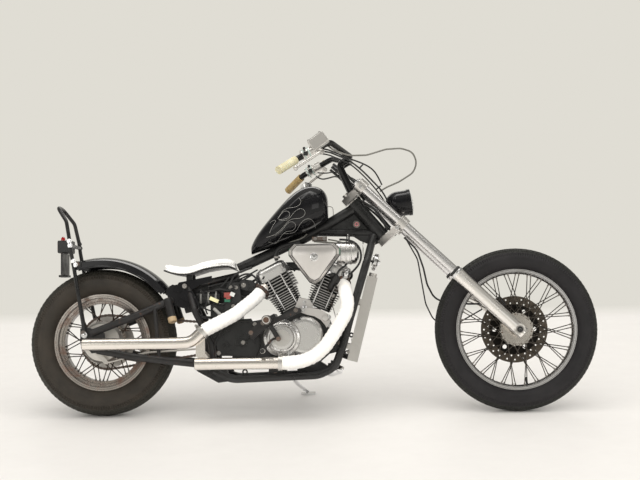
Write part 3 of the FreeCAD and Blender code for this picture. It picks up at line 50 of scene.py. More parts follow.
REAR_AXLE = Vector((0, 0, 311.92))
FRONT_AXLE = Vector((1748.75, 0, 343.82))
CRANK = Vector((863, 0, 330))
HEAD_BASE = Vector((1223, 0, 713))
FORK_HALF_TRACK = 105
PIPE_LINE = 196
FOOT_LINE = 180
CYLINDER_ANGLES = (-28, 24)
HANDS = (-1, 1)  # the sign of Y on the right and on the left
X, Y, Z = Vector((1, 0, 0)), Vector((0, 1, 0)), Vector((0, 0, 1))
TILT = Matrix.Rotation(-LEAN, 3, "X")


def heading(angle):
    """The unit vector in the bike's plane that points an angle up from straight ahead."""
    return Vector((math.cos(angle), 0, math.sin(angle)))


FORK_UP = Vector((-math.sin(FORK_RAKE), 0, math.cos(FORK_RAKE)))
STEM_UP = Vector((-math.sin(STEM_RAKE), 0, math.cos(STEM_RAKE)))
STEM_AHEAD = heading(STEM_RAKE)
SHIFT = sum(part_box("rear_axle"), Vector()) / 2 - TILT @ REAR_AXLE / 1000


def at(point):
    """A point of the upright bike, in metres in the leaning frame."""
    return TILT @ Vector(point) / 1000 + SHIFT


def on_fork(distance, side):
    """A point up a fork leg from the front axle's line."""
    return FRONT_AXLE + FORK_UP * distance + Y * (side * FORK_HALF_TRACK)


def on_stem(height, ahead=0.0, y=0.0):
    """A point up the steering stem, and ahead of it square to its line."""
    return HEAD_BASE + STEM_UP * height + STEM_AHEAD * ahead + Y * y


def on_bar(ahead, side, rise):
    """A point of the handlebar, from the middle of its raised part."""
    return on_stem(258) + Vector((ahead - 52.3, side, rise + 153))


def by_crank(x, y, z):
    """A point by its distances from the crankshaft's middle."""
    return CRANK + Vector((x, y, z))


# Materials

def scaled(colour, share):
    return tuple(c * share for c in colour)


def lifted(colour, step):
    return tuple(c + step for c in colour)


class Finish:
    """One procedural material, built up from noise patterns in the object's own coordinates."""

    def __init__(self, name, colour, metallic=0.0, roughness=0.5):
        self.material = bpy.data.materials.new(name)
        self.material.use_nodes = True
        self.tree = self.material.node_tree
        self.shader = self.tree.nodes["Principled BSDF"]
        self.set("Base Color", (*colour, 1))
        self.set("Metallic", metallic)
        self.set("Roughness", roughness)
        self.place = self.tree.nodes.new("ShaderNodeTexCoord").outputs["Object"]

    def set(self, socket, value):
        self.shader.inputs[socket].default_value = value

    def node(self, kind, links=(), **settings):
        """A node with its settings, and its inputs linked or set by name or number."""
        made = self.tree.nodes.new("ShaderNode" + kind)
        for name, value in settings.items():
            setattr(made, name, value)
        for name, value in dict(links).items():
            if isinstance(value, bpy.types.NodeSocket):
                self.tree.links.new(value, made.inputs[name])
            else:
                made.inputs[name].default_value = value
        return made

    def feed(self, socket, output):
        self.tree.links.new(output, self.shader.inputs[socket])

    def vary(self, socket, factor, *stops):
        """Feed a socket with colours or greys at positions along a factor."""
        self.feed(socket, self.ramp(factor, *stops))

    def noise(self, scale, detail=4.0, roughness=0.55, place=None):
        where = self.place if place is None else place
        links = {"Vector": where, "Scale": scale, "Detail": detail, "Roughness": roughness}
        return self.node("TexNoise", links).outputs["Fac"]

    def cells(self, scale):
        links = {"Vector": self.place, "Scale": scale}
        return self.node("TexVoronoi", links).outputs["Distance"]

    def ramp(self, factor, *stops):
        """Colours, or greys, at positions along a factor."""
        made = self.node("ValToRGB", {"Fac": factor})
        line = made.color_ramp.elements
        while len(line) < len(stops):
            line.new(0.5)
        for element, (position, colour) in zip(line, stops):
            element.position = position
            element.color = (colour,) * 3 + (1,) if isinstance(colour, float) else (*colour, 1)
        return made.outputs["Color"]

    def blend(self, factor, first, second):
        made = self.node("Mix", data_type="RGBA")
        for index, value in ((0, factor), (6, first), (7, second)):
            if isinstance(value, bpy.types.NodeSocket):
                self.tree.links.new(value, made.inputs[index])
            else:
                made.inputs[index].default_value = (*value, 1) if index else value
        return made.outputs[2]

    def math(self, operation, *values, clamp=False):
        made = self.node("Math", enumerate(values), operation=operation, use_clamp=clamp)
        return made.outputs[0]

    def bump(self, height, strength, distance=0.001):
        links = {"Height": height, "Strength": strength, "Distance": distance}
        self.feed("Normal", self.node("Bump", links).outputs["Normal"])

    def vector_math(self, operation, *values):
        return self.node("VectorMath", enumerate(values), operation=operation).outputs

    def axis_distance(self, centre):
        """How far a point lies from an axle's line, in metres."""
        away = self.vector_math("SUBTRACT", self.place, at(centre))[0]
        cross = self.vector_math("CROSS_PRODUCT", away, TILT @ Y)[0]
        return self.vector_math("LENGTH", cross)["Value"]

    def along(self, direction):
        """Distance along a direction of the upright bike, in metres from the rear axle's point."""
        away = self.vector_math("SUBTRACT", self.place, at((0, 0, 0)))[0]
        return self.vector_math("DOT_PRODUCT", away, TILT @ direction)["Value"]


def gloss_paint(name, colour, dust=0.006, roughness=(0.07, 0.20)):
    """Deep gloss paint, a little duller where it has been wiped."""
    f = Finish(name, colour)
    smudge = f.noise(7, 6, 0.6)
    f.vary("Base Color", smudge, (0.45, colour), (0.80, lifted(colour, dust)))
    f.vary("Roughness", smudge, (0.35, roughness[0]), (0.80, roughness[1]))
    f.bump(f.noise(40, 2), 0.015)
    f.set("Specular IOR Level", 0.34)
    return f.material


def worn_paint(name, colour, rust_at, roughness=(0.22, 0.5)):
    """Black paint with dust, dull patches and rust where it is chipped."""
    f = Finish(name, colour)
    patches, chips = f.noise(14, 6, 0.7), f.noise(55, 7, 0.7)
    dusty = f.ramp(patches, (0.45, colour), (0.80, lifted(colour, 0.018)))
    mask = f.ramp(chips, (rust_at, 0.0), (rust_at + 0.06, 0.8))
    f.feed("Base Color", f.blend(mask, dusty, (0.09, 0.040, 0.022)))
    f.vary("Roughness", patches, (0.35, roughness[0]), (0.75, roughness[1]))
    f.bump(chips, 0.06, 0.0006)
    return f.material


def bare_metal(name, colour, roughness, stain=None, stain_at=0.62, grain=(1, 1, 1)):
    """Metal with uneven polish; stain is a colour for marks, grain stretches fine scratches."""
    f = Finish(name, colour, 1.0)
    cloud = f.noise(8, 5, 0.6)
    stretched = f.node("Mapping", {"Vector": f.place, "Scale": grain}).outputs[0]
    fine = f.noise(160, 3, 0.6, stretched)
    polish = f.math("MULTIPLY_ADD", fine, 0.12, cloud)
    f.vary("Roughness", polish, (0.40, roughness[0]), (0.80, roughness[1]))
    tone = f.ramp(cloud, (0.35, colour), (0.75, scaled(colour, 0.88)))
    if stain:
        marks = f.ramp(f.noise(30, 7, 0.7), (stain_at, 0.0), (stain_at + 0.16, 0.75))
        tone = f.blend(marks, tone, stain)
        f.vary("Metallic", marks, (0.0, 1.0), (1.0, 0.5))
    f.feed("Base Color", tone)
    f.bump(fine, 0.02, 0.0004)
    return f.material


def rubber(name, axle, tread_from, colour, dust, tread, dust_at):
    """Tyre rubber with dust in clouds, and a tread that is a tone apart from the side wall."""
    f = Finish(name, colour)
    cloud, fine = f.noise(7, 7, 0.7), f.noise(180, 5, 0.7)
    wall = f.ramp(cloud, (dust_at - 0.15, colour), (dust_at + 0.22, dust))
    distance = f.axis_distance(axle)
    rings = f.math("SINE", f.math("MULTIPLY", distance, 420.0))
    wall = f.blend(f.math("MULTIPLY", rings, 0.06, clamp=True), wall, dust)
    f.feed("Base Color", f.blend(f.math("GREATER_THAN", distance, tread_from), wall, tread))
    f.vary("Roughness", cloud, (0.35, 0.5), (0.7, 0.75))
    f.bump(fine, 0.12, 0.0006)
    f.set("Specular IOR Level", 0.3)
    return f.material


def plastic(name, colour, roughness=(0.3, 0.5)):
    """Moulded plastic, rubber hose or plain paint, a little cloudy."""
    f = Finish(name, colour)
    cloud = f.noise(18, 5, 0.6)
    f.vary("Base Color", cloud, (0.35, colour), (0.75, lifted(scaled(colour, 1.25), 0.004)))
    f.vary("Roughness", cloud, (0.35, roughness[0]), (0.7, roughness[1]))
    f.bump(f.noise(150, 3), 0.06, 0.0005)
    return f.material


def wheel_finish(name, axle, spokes, rim, spoke, hub, rust, rust_at, lines):
    """Hub, spokes and rim of one wheel, told apart by their distance from the axle.

    The spokes run from one distance to another. Each of the lines is a ring of the rim darkened as painted
    shade, at a distance and of a width.
    """
    f = Finish(name, rim, 1.0)
    distance = f.axis_distance(axle)
    cloud = f.noise(16, 6, 0.66)
    inside = f.math("LESS_THAN", distance, spokes[0])
    outside = f.math("GREATER_THAN", distance, spokes[1])
    rim_tone_and_shade = f.ramp(cloud, (0.35, rim), (0.75, scaled(rim, 0.90)))
    # The rim's darker rings are painted shade, not marks on the metal.
    for place, width in lines:
        near = f.math("LESS_THAN", f.math("ABSOLUTE", f.math("SUBTRACT", distance, place)), width)
        rim_tone_and_shade = f.blend(near, rim_tone_and_shade, scaled(rim, 0.42))
    tone = f.blend(inside, f.blend(outside, spoke, rim_tone_and_shade), hub)
    marks = f.ramp(cloud, (rust_at, 0.0), (rust_at + 0.18, 0.85))
    f.feed("Base Color", f.blend(marks, tone, rust))
    f.vary("Roughness", cloud, (0.35, 0.14), (0.72, 0.36))
    f.vary("Metallic", marks, (0.0, 1.0), (1.0, 0.6))
    f.bump(f.noise(36, 2), 0.006, 0.0004)
    return f.material


def disc_finish(name, axle, carrier_to, steel, carrier):
    """A brake disc: a darker carrier inside a ring of browned steel with fine circular scoring."""
    f = Finish(name, steel, 1.0)
    distance = f.axis_distance(axle)
    circles = f.node("CombineXYZ", {"X": f.math("MULTIPLY", distance, 900.0)}).outputs[0]
    scores = f.noise(1.0, 5, 0.7, circles)
    ring = f.ramp(scores, (0.35, steel), (0.70, scaled(steel, 1.5)))
    f.feed("Base Color", f.blend(f.math("LESS_THAN", distance, carrier_to), ring, carrier))
    f.vary("Roughness", scores, (0.3, 0.30), (0.7, 0.48))
    f.bump(scores, 0.05, 0.0004)
    return f.material


def head_finish(name, dome, fins, dome_from):
    """Satin domes on both cylinder heads, and dark cooling fins below them."""
    f = Finish(name, dome, 1.0)
    cloud = f.noise(8, 5, 0.6)
    levels = []
    for angle in CYLINDER_ANGLES:
        up = heading(math.radians(90 - angle))
        levels.append(f.math("SUBTRACT", f.along(up), up.dot(CRANK) / 1000))
    front = f.math("GREATER_THAN", f.along(X), CRANK.x / 1000)
    rear_share = f.math("MULTIPLY", levels[0], f.math("SUBTRACT", 1.0, front))
    level = f.math("ADD", rear_share, f.math("MULTIPLY", levels[1], front))
    above = f.math("GREATER_THAN", level, dome_from)
    tone = f.ramp(cloud, (0.35, dome), (0.75, scaled(dome, 0.88)))
    f.feed("Base Color", f.blend(above, fins, tone))
    f.feed("Metallic", above)
    f.vary("Roughness", cloud, (0.35, 0.26), (0.75, 0.40))
    f.bump(f.noise(160, 3), 0.02, 0.0004)
    return f.material


def two_grips(name, right, right_deep, left, left_deep):
    """Aged translucent rubber: the right grip is paler than the left one."""
    f = Finish(name, right, roughness=0.4)
    cloud = f.noise(26, 6, 0.7)
    on_left = f.math("GREATER_THAN", f.along(Y), 0.0)
    pale = f.ramp(cloud, (0.35, right), (0.72, right_deep))
    tan = f.ramp(cloud, (0.35, left), (0.72, left_deep))
    f.feed("Base Color", f.blend(on_left, pale, tan))
    f.bump(f.noise(120, 4), 0.06, 0.0006)
    f.set("Subsurface Weight", 0.12)
    f.set("Subsurface Radius", (0.01, 0.006, 0.003))
    return f.material


def wrap_cloth(name, clean, worn, scorched):
    """Woven glass tape round the pipes: an off-white weave, a little scorched."""
    f = Finish(name, clean, roughness=0.9)
    f.vary("Base Color", f.noise(9, 6, 0.65), (0.30, clean), (0.66, worn), (0.86, scorched))
    f.bump(f.cells(520.0), 0.35, 0.0008)
    f.set("Sheen Weight", 0.25)
    return f.material


def vinyl(name, clean, handled):
    """Seat vinyl with a fine pebble grain, greyer where it is handled."""
    f = Finish(name, clean)
    cloud = f.noise(6, 6, 0.6)
    f.vary("Base Color", cloud, (0.35, clean), (0.75, handled))
    f.vary("Roughness", cloud, (0.35, 0.38), (0.7, 0.55))
    f.bump(f.cells(900.0), 0.10, 0.0006)
    return f.material


def glass(name, colour, roughness):
    """A moulded lens with a slight ripple."""
    f = Finish(name, colour, roughness=roughness)
    f.set("Transmission Weight", 0.7)
    f.set("IOR", 1.45)
    f.set("Coat Weight", 0.4)
    f.bump(f.noise(90, 2), 0.05, 0.0005)
    return f.material


RUST = (0.20, 0.085, 0.04)
GRIME = (0.10, 0.075, 0.055)
FINISHES = (
    (gloss_paint, {
        "gloss_black": ((0.004, 0.004, 0.005),),
        "bar_black": ((0.005, 0.005, 0.005), 0.012, (0.10, 0.26)),
    }),
    (worn_paint, {
        "frame_black": ((0.008, 0.008, 0.008), 0.68),
        "rough_black": ((0.010, 0.009, 0.009), 0.60, (0.32, 0.6)),
        "engine_black": ((0.012, 0.012, 0.012), 0.66, (0.32, 0.55)),
        "rusty": ((0.035, 0.022, 0.016), 0.50, (0.5, 0.8)),
    }),
    (bare_metal, {
        "chrome": ((0.86, 0.86, 0.87), (0.06, 0.15), GRIME, 0.68),
        "tube": ((0.84, 0.83, 0.83), (0.22, 0.30), GRIME, 0.74),
        "bright_rod": ((0.88, 0.88, 0.89), (0.08, 0.18)),
        "polished": ((0.84, 0.83, 0.82), (0.20, 0.34), GRIME, 0.66, (1, 9, 1)),
        "satin": ((0.74, 0.72, 0.69), (0.30, 0.44), GRIME, 0.66, (1, 1, 5)),
        "slider": ((0.97, 0.94, 0.90), (0.24, 0.34), GRIME, 0.72, (3, 1, 3)),
        "canister": ((0.84, 0.83, 0.82), (0.16, 0.26), GRIME, 0.70, (1, 4, 4)),
        "cover": ((0.84, 0.81, 0.79), (0.30, 0.42), GRIME, 0.70, (1, 1, 4)),
        "silencer": ((0.93, 0.88, 0.82), (0.20, 0.32), (0.36, 0.28, 0.20), 0.70, (1, 9, 9)),
        "fin_edge": ((0.60, 0.59, 0.58), (0.26, 0.42), GRIME, 0.60),
        "radiator_silver": ((0.66, 0.64, 0.61), (0.34, 0.50), GRIME, 0.62),
        "steel": ((0.46, 0.44, 0.42), (0.25, 0.45), RUST, 0.60),
        "old_steel": ((0.24, 0.21, 0.19), (0.35, 0.6), RUST, 0.52),
        "nipple": ((0.30, 0.28, 0.26), (0.25, 0.45), RUST, 0.60),
        "sprocket": ((0.66, 0.63, 0.60), (0.30, 0.46), RUST, 0.62),
        "drum": ((0.70, 0.67, 0.63), (0.34, 0.50), RUST, 0.64),
        "chain": ((0.22, 0.18, 0.16), (0.35, 0.6), RUST, 0.52),
        "brass": ((0.50, 0.38, 0.18), (0.25, 0.45), RUST, 0.66),
    }),
    (plastic, {
        "black_rubber": ((0.010, 0.010, 0.010), (0.4, 0.6)),
        "hose": ((0.011, 0.011, 0.011),),
        "black_plastic": ((0.013, 0.013, 0.013),),
        "grey_cable": ((0.13, 0.125, 0.11), (0.35, 0.5)),
        "grey_paint": ((0.26, 0.255, 0.24), (0.30, 0.45)),
        "green_grey": ((0.34, 0.40, 0.37), (0.35, 0.5)),
        "yellow": ((0.62, 0.58, 0.34),),
        "red_plug": ((0.26, 0.05, 0.04),),
        "pink": ((0.50, 0.14, 0.16),),
        "green": ((0.02, 0.14, 0.08),),
        "white_clip": ((0.55, 0.55, 0.53),),
        # Dark brown for the inside of the pegs' hollow ends: painted shade.
        "hollow": ((0.07, 0.035, 0.02), (0.6, 0.8)),
        "bush": ((0.36, 0.26, 0.15), (0.55, 0.75)),
        # The welt is greyer than the seat's vinyl as painted shade of its lacing.
        "welt": ((0.78, 0.77, 0.75), (0.4, 0.6)),
        "stripe": ((0.24, 0.235, 0.22), (0.3, 0.4)),
    }),
    (rubber, {
        "front_tyre": (FRONT_AXLE, 0.3235, (0.010, 0.009, 0.010), (0.023, 0.021, 0.022),
                       (0.014, 0.014, 0.012), 0.56),
        "rear_tyre": (REAR_AXLE, 0.2855, (0.014, 0.012, 0.009), (0.040, 0.032, 0.024),
                      (0.022, 0.020, 0.015), 0.46),
    }),
    (wheel_finish, {
        # The last value of each wheel lists the rim's rings of painted shade, each a distance and a width.
        "front_wheel": (FRONT_AXLE, (0.072, 0.2335), (0.58, 0.57, 0.57), (0.085, 0.075, 0.065),
                        (0.52, 0.49, 0.45), GRIME, 0.74, ((0.2425, 0.0011), (0.2505, 0.0009))),
        "rear_wheel": (REAR_AXLE, (0.092, 0.164), (0.42, 0.385, 0.355), (0.055, 0.042, 0.034),
                       (0.62, 0.58, 0.53), (0.20, 0.11, 0.075), 0.52,
                       ((0.1755, 0.0012), (0.188, 0.0022), (0.1965, 0.0010))),
    }),
    (disc_finish, {"disc": (FRONT_AXLE, 0.106, (0.100, 0.084, 0.068), (0.022, 0.020, 0.018))}),
    (head_finish, {"head": ((0.86, 0.85, 0.84), (0.012, 0.012, 0.012), 0.2768)}),
    (wrap_cloth, {"wrap": ((0.86, 0.85, 0.83), (0.80, 0.77, 0.72), (0.62, 0.54, 0.45))}),
    (vinyl, {"vinyl": ((0.86, 0.855, 0.84), (0.74, 0.72, 0.69))}),
    (two_grips, {"grip": ((0.60, 0.57, 0.40), (0.46, 0.41, 0.25), (0.40, 0.29, 0.12), (0.22, 0.14, 0.05))}),
    (glass, {"red_glass": ((0.45, 0.01, 0.01), 0.05), "clear_glass": ((0.92, 0.94, 0.95), 0.02)}),
)
MATERIALS = {name: make(name, *values) for make, table in FINISHES for name, values in table.items()}

# The solids that each finish is for
CAD_FINISH = {
    "front_wheel": "front_rim",
    "rear_wheel": "rear_rim",
    "disc": "front_disc",
    "sprocket": "rear_sprocket",
    "chain": "chain",
    "old_steel": "drive_sprocket",
    "satin": "lower_yoke upper_yoke brake_control clutch_control",
    "tube": "fork_tubes",
    "slider": "fork_sliders",
    "steel": "front_axle rear_axle",
    "bar_black": "handlebar",
    "gloss_black": "headlight fuel_tank rear_fender",
    "black_plastic": "front_caliper intake battery_box coil tail_light",
    "hose": "front_brake_hose",
    "grey_cable": "control_cables",
    "frame_black": "frame_backbone frame_cradle_right frame_cradle_left side_plate sissy_bar",
    "rough_black": "frame_rear swingarm rear_strut seat_pan plate_bracket foot_controls_right"
                   " foot_controls_left",
    "engine_black": "engine_cases cylinders",
    "head": "cylinder_heads",
    "polished": "clutch_cover front_cover left_cover",
    "silencer": "exhaust_rear exhaust_front",
    "cover": "air_cleaner",
    "canister": "canister",
    "radiator_silver": "radiator",
    "chrome": "oil_filter horn fuel_cap side_stand",
    "drum": "rear_brake",
    "vinyl": "seat",
    "grip": "grips",
    "front_tyre": "front_tyre",
    "rear_tyre": "rear_tyre",
}
SHARP_FROM = 32


def shade(mesh, finish, sharp):
    """Give a mesh its material, smooth but for edges sharper than an angle in degrees."""
    mesh.materials.append(MATERIALS[finish])
    for face in mesh.polygons:
        face.use_smooth = True
    mesh.set_sharp_from_angle(angle=math.radians(sharp))


def dress_cad():
    """Every carried-over solid gets its finish."""
    for finish, nodes in CAD_FINISH.items():
        for node in nodes.split():
            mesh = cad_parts[node].data
            mesh.materials.clear()
            shade(mesh, finish, SHARP_FROM)


# Geometry helpers: a shape is (points, faces) in the upright bike's millimetres

def merge(shapes):
    """One shape from a list of them."""
    points, faces = [], []
    for more_points, more_faces in shapes:
        base = len(points)
        points.extend(more_points)
        faces.extend([tuple(index + base for index in face) for face in more_faces])
    return points, faces


def piece(name, shape, finish, body="frame", stands_for=None, sharp=SHARP_FROM, bevel=0.0):
    """A new object that rides on a body, from one shape or a list of them.

    It takes the finish that it is named with, and hides the solid that it stands for.
    """
    points, faces = merge(shape) if isinstance(shape, list) else shape
    mesh = bpy.data.meshes.new(name)
    mesh.from_pydata([at(point) for point in points], [], faces)
    work = bmesh.new()
    work.from_mesh(mesh)
    bmesh.ops.recalc_face_normals(work, faces=work.faces)
    work.to_mesh(mesh)
    work.free()
    shade(mesh, finish, sharp)
    item = bpy.data.objects.new(name, mesh)
    bpy.context.scene.collection.objects.link(item)
    if bevel:
        edges = item.modifiers.new("Rounded", "BEVEL")
        edges.width = bevel / 1000
        edges.segments = 2
        edges.limit_method = "ANGLE"
        edges.harden_normals = True
    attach(item, body)
    if stands_for:
        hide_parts(stands_for)
    return item


def skin(rings, first=True, last=True, closed=False):
    """A wall through rings of as many points each.

    The first and the last ring are filled or open. In a closed one the last ring leads to the first.
    """
    count, rows = len(rings[0]), len(rings)
    faces = []
    for row in range(rows if closed else rows - 1):
        low, high = row * count, (row + 1) % rows * count
        for index in range(count):
            after = (index + 1) % count
            faces.append((low + index, low + after, high + after, high + index))
    if first:
        faces.append(tuple(range(count))[::-1])
    if last:
        faces.append(tuple(range((rows - 1) * count, rows * count)))
    return [point for ring in rings for point in ring], faces


def basis(axis):
    """Two directions square to an axis."""
    first = axis.cross(Y if abs(axis.y) < 0.9 else X).normalized()
    return first, axis.cross(first)


def turned(profile, centre, axis, steps=32):
    """A surface of revolution: profile is (radius, distance along the axis)."""
    axis = Vector(axis).normalized()
    first, second = basis(axis)
    points, faces = [], []
    for step in range(steps):
        angle = 2 * math.pi * step / steps
        out = first * math.cos(angle) + second * math.sin(angle)
        points.extend(Vector(centre) + out * radius + axis * distance for radius, distance in profile)
    count = len(profile)
    for step in range(steps):
        near, far = step * count, (step + 1) % steps * count
        for index in range(count - 1):
            faces.append((near + index, far + index, far + index + 1, near + index + 1))
    return points, faces


def solid_turned(profile, centre, axis, steps=24):
    """A revolution closed at both ends by points on the axis."""
    return turned([(0.01, profile[0][1]), *profile, (0.01, profile[-1][1])], centre, axis, steps)


def bolt(centre, axis, radius, height, washer=True, socket=True):
    """A cap screw with a hexagon socket, or a hexagon head, on a washer."""
    top = 1.2 + height
    profile = [(radius, 0)]
    if washer:
        profile = [(radius * 1.45, 0), (radius * 1.45, 1.2), (radius, 1.2)]
    if socket:
        floor = 1.2 + height * 0.45
        profile += [(radius, top - 0.8), (radius - 0.8, top), (radius * 0.55, top), (radius * 0.5, floor),
                    (0.01, floor)]
        return turned([(0.01, 0), *profile], centre, axis, 16)
    base = turned([(0.01, 0), *profile, (0.01, 1.2)], centre, axis, 16)
    head = turned([(0.01, 1.0), (radius, 1.0), (radius, top - 0.8), (radius * 0.8, top), (0.01, top)],
                  centre, axis, 6)
    return merge([base, head])


def bolt_pair(x, y, z, radius, height, socket=False):
    """The same screw on the right and on the left, facing out."""
    return [bolt((x, hand * y, z), Y * hand, radius, height, socket=socket) for hand in HANDS]


def box(low, high, turn=Matrix.Identity(3), centre=(0, 0, 0)):
    """A box by two corners, turned about the origin and then moved to a centre."""
    corners = [(x, y, z) for x in (low[0], high[0]) for y in (low[1], high[1]) for z in (low[2], high[2])]
    faces = [(0, 1, 3, 2), (4, 6, 7, 5), (0, 4, 5, 1), (2, 3, 7, 6), (0, 2, 6, 4), (1, 5, 7, 3)]
    return [Vector(centre) + turn @ Vector(corner) for corner in corners], faces


def slab(outline, y_low, y_high):
    """A plate with an outline in the side view."""
    return skin([[Vector((x, y, z)) for x, z in outline] for y in (y_low, y_high)])


def rounded_path(corners, bend, step):
    """Straight runs joined by tangent arcs, as the part's tubes have, in short steps."""
    corners = [Vector(corner) for corner in corners]
    path = [corners[0]]
    for before, corner, after in zip(corners, corners[1:], corners[2:]):
        back, ahead = (before - corner).normalized(), (after - corner).normalized()
        half_turn = (math.pi - back.angle(ahead)) / 2
        if half_turn < 0.01:
            continue
        shorter = min((before - corner).length, (after - corner).length)
        radius = min(bend, 0.45 * shorter / math.tan(half_turn))
        centre = corner + (back + ahead).normalized() * (radius / math.cos(half_turn))
        start = corner + back * radius * math.tan(half_turn) - centre
        turn_axis = start.cross(corner + ahead * radius * math.tan(half_turn) - centre).normalized()
        arc_steps = max(2, int(2 * half_turn * radius / step))
        for index in range(arc_steps + 1):
            path.append(centre + Matrix.Rotation(2 * half_turn * index / arc_steps, 3, turn_axis) @ start)
    path.append(corners[-1])
    fine = [path[0]]
    for point in path[1:]:
        start = fine[-1]
        gap = (point - start).length
        if gap < 0.5:
            continue
        pieces = max(1, int(gap / step))
        fine.extend(start.lerp(point, (index + 1) / pieces) for index in range(pieces))
    return fine


def swept(path, radius, sides):
    """A tube along a path; radius is a number or a function of distance and angle."""
    rings = []
    tangent = (path[1] - path[0]).normalized()
    side = basis(tangent)[0]
    travelled = 0.0
    for index, point in enumerate(path):
        if index:
            travelled += (point - path[index - 1]).length
            tangent = (path[min(index + 1, len(path) - 1)] - path[index - 1]).normalized()
            side = (side - tangent * side.dot(tangent)).normalized()
        up = tangent.cross(side)
        ring = []
        for step in range(sides):
            angle = 2 * math.pi * step / sides
            reach = radius(travelled, angle) if callable(radius) else radius
            ring.append(point + (side * math.cos(angle) + up * math.sin(angle)) * reach)
        rings.append(ring)
    return skin(rings)


def wire_path(points, steps=6):
    """A smooth line through the neighbourhood of a few points, in so many steps for each."""
    curve = bpy.data.curves.new("line", "CURVE")
    curve.dimensions = "3D"
    curve.resolution_u = steps
    line = curve.splines.new("NURBS")
    line.points.add(len(points) - 1)
    for target, point in zip(line.points, points):
        target.co = (*point, 1)
    line.order_u = 3
    line.use_endpoint_u = True
    holder = bpy.data.objects.new("line", curve)
    mesh = bpy.data.meshes.new_from_object(holder)
    path = [vertex.co.copy() for vertex in mesh.vertices]
    bpy.data.objects.remove(holder)
    bpy.data.meshes.remove(mesh)
    bpy.data.curves.remove(curve)
    return path


def wire(points, radius, sides=8):
    """A soft cable near a few points."""
    return swept(wire_path(points), radius, sides)


# Tyres

def arc_through(first, middle, last, count):
    """Points on the circle through three points of a section, ends included."""
    a, b, c = (Vector(point) for point in (first, middle, last))
    d = 2 * (a.x * (b.y - c.y) + b.x * (c.y - a.y) + c.x * (a.y - b.y))
    aa, bb, cc = a.length_squared, b.length_squared, c.length_squared
    centre = Vector(((aa * (b.y - c.y) + bb * (c.y - a.y) + cc * (a.y - b.y)) / d,
                     (aa * (c.x - b.x) + bb * (a.x - c.x) + cc * (b.x - a.x)) / d))
    start = a - centre
    sweep, via = start.angle_signed(c - centre), start.angle_signed(b - centre)
    if sweep * via < 0 or abs(via) > abs(sweep):
        sweep -= math.copysign(2 * math.pi, sweep)
    return [centre + Matrix.Rotation(-sweep * index / (count - 1), 2) @ start for index in range(count)]


def tyre_section(radius, width, tread_width, crown, rim_radius, rim_width, grooves, depth):
    """Half a section from the bead inwards: radius, width, share of the zigzag, depth of a notch."""
    half_tread, half_bead = tread_width / 2, rim_width / 2 - 4.3
    half_groove, bevel = 1.6, 0.6

    def crowned(y):
        return radius - (crown - math.sqrt(crown ** 2 - y ** 2))

    bulge = ((rim_radius + radius) / 2 - 8, width / 2)
    wall = arc_through((rim_radius + 0.3, half_bead), bulge, (crowned(half_tread), half_tread), 15)
    section = [(rim_radius - 9, half_bead, 0, 0)]
    for index, (r, y) in enumerate(wall):
        raised = 0.7 if index in (3, 10) else 0.0
        section.append((r, y + raised, 0, depth if index in (12, 13) else 0.0))
    for groove in grooves:
        for offset, sunk in ((half_groove + bevel, 0), (half_groove, depth), (-half_groove, depth),
                             (-half_groove - bevel, 0)):
            section.append((crowned(groove + offset) - sunk, groove + offset, 1, 0))
    return section


def tyre_shape(axle, section, steps, wave):
    """A tyre whose tread has zigzag grooves and whose shoulders are cut into saw teeth."""
    section = section + [(r, -y, moves, notch) for r, y, moves, notch in reversed(section)]
    rings = []
    for step in range(steps):
        out = heading(2 * math.pi * step / steps)
        zigzag = wave * (0, 1, 0, -1)[step % 4]
        ring = []
        for r, y, moves, notch in section:
            sink = notch * (step % 2)
            ring.append(axle + out * (r - sink * 0.6) + Y * (y - math.copysign(sink, y) + zigzag * moves))
        rings.append(ring)
    return skin(rings, first=False, last=False, closed=True)


def tyres():
    """Both treaded tyres, which the smooth ones give way to."""
    front = tyre_section(342.7, 104, 84, 53, 254, 62, (33, 20, 7), 2.6)
    rear = tyre_section(310.3, 150, 126, 92, 204, 98, (48, 34, 20, 7), 3.4)
    piece("front_tyre_treaded", tyre_shape(FRONT_AXLE, front, 400, 2.2), "front_tyre",
          body="front_wheel", stands_for="front_tyre", sharp=24)
    piece("rear_tyre_treaded", tyre_shape(REAR_AXLE, rear, 340, 2.6), "rear_tyre",
          body="rear_wheel", stands_for="rear_tyre", sharp=24)


# Wheels

SPOKES = {
    "front": dict(axle=FRONT_AXLE, count=60, group=2, hub_reach=63, flange=33, rim_reach=236, lead=34,
                  apart=4.0),
    "rear": dict(axle=REAR_AXLE, count=40, group=4, hub_reach=83, flange=40, rim_reach=166, lead=22,
                 apart=0.0),
}


def spoke_lines(axle, count, group, hub_reach, flange, rim_reach, lead, apart):
    """Both ends of every spoke, laced in groups as the part laces them."""
    middle = (group - 1) / 2
    for index in range(count):
        side = 1 if index % 2 else -1
        lean = 1 if (index // 2) % 2 else -1
        spread = (index % group - middle) * 0.55
        rim_angle = 2 * math.pi * (index // group * group + middle + spread) / count
        hub_angle = rim_angle + lean * math.radians(lead)
        hub_y = side * (flange + 2.5) + lean * apart
        yield (axle + heading(hub_angle) * hub_reach + Y * hub_y,
               axle + heading(rim_angle) * rim_reach + Y * (side * 6))


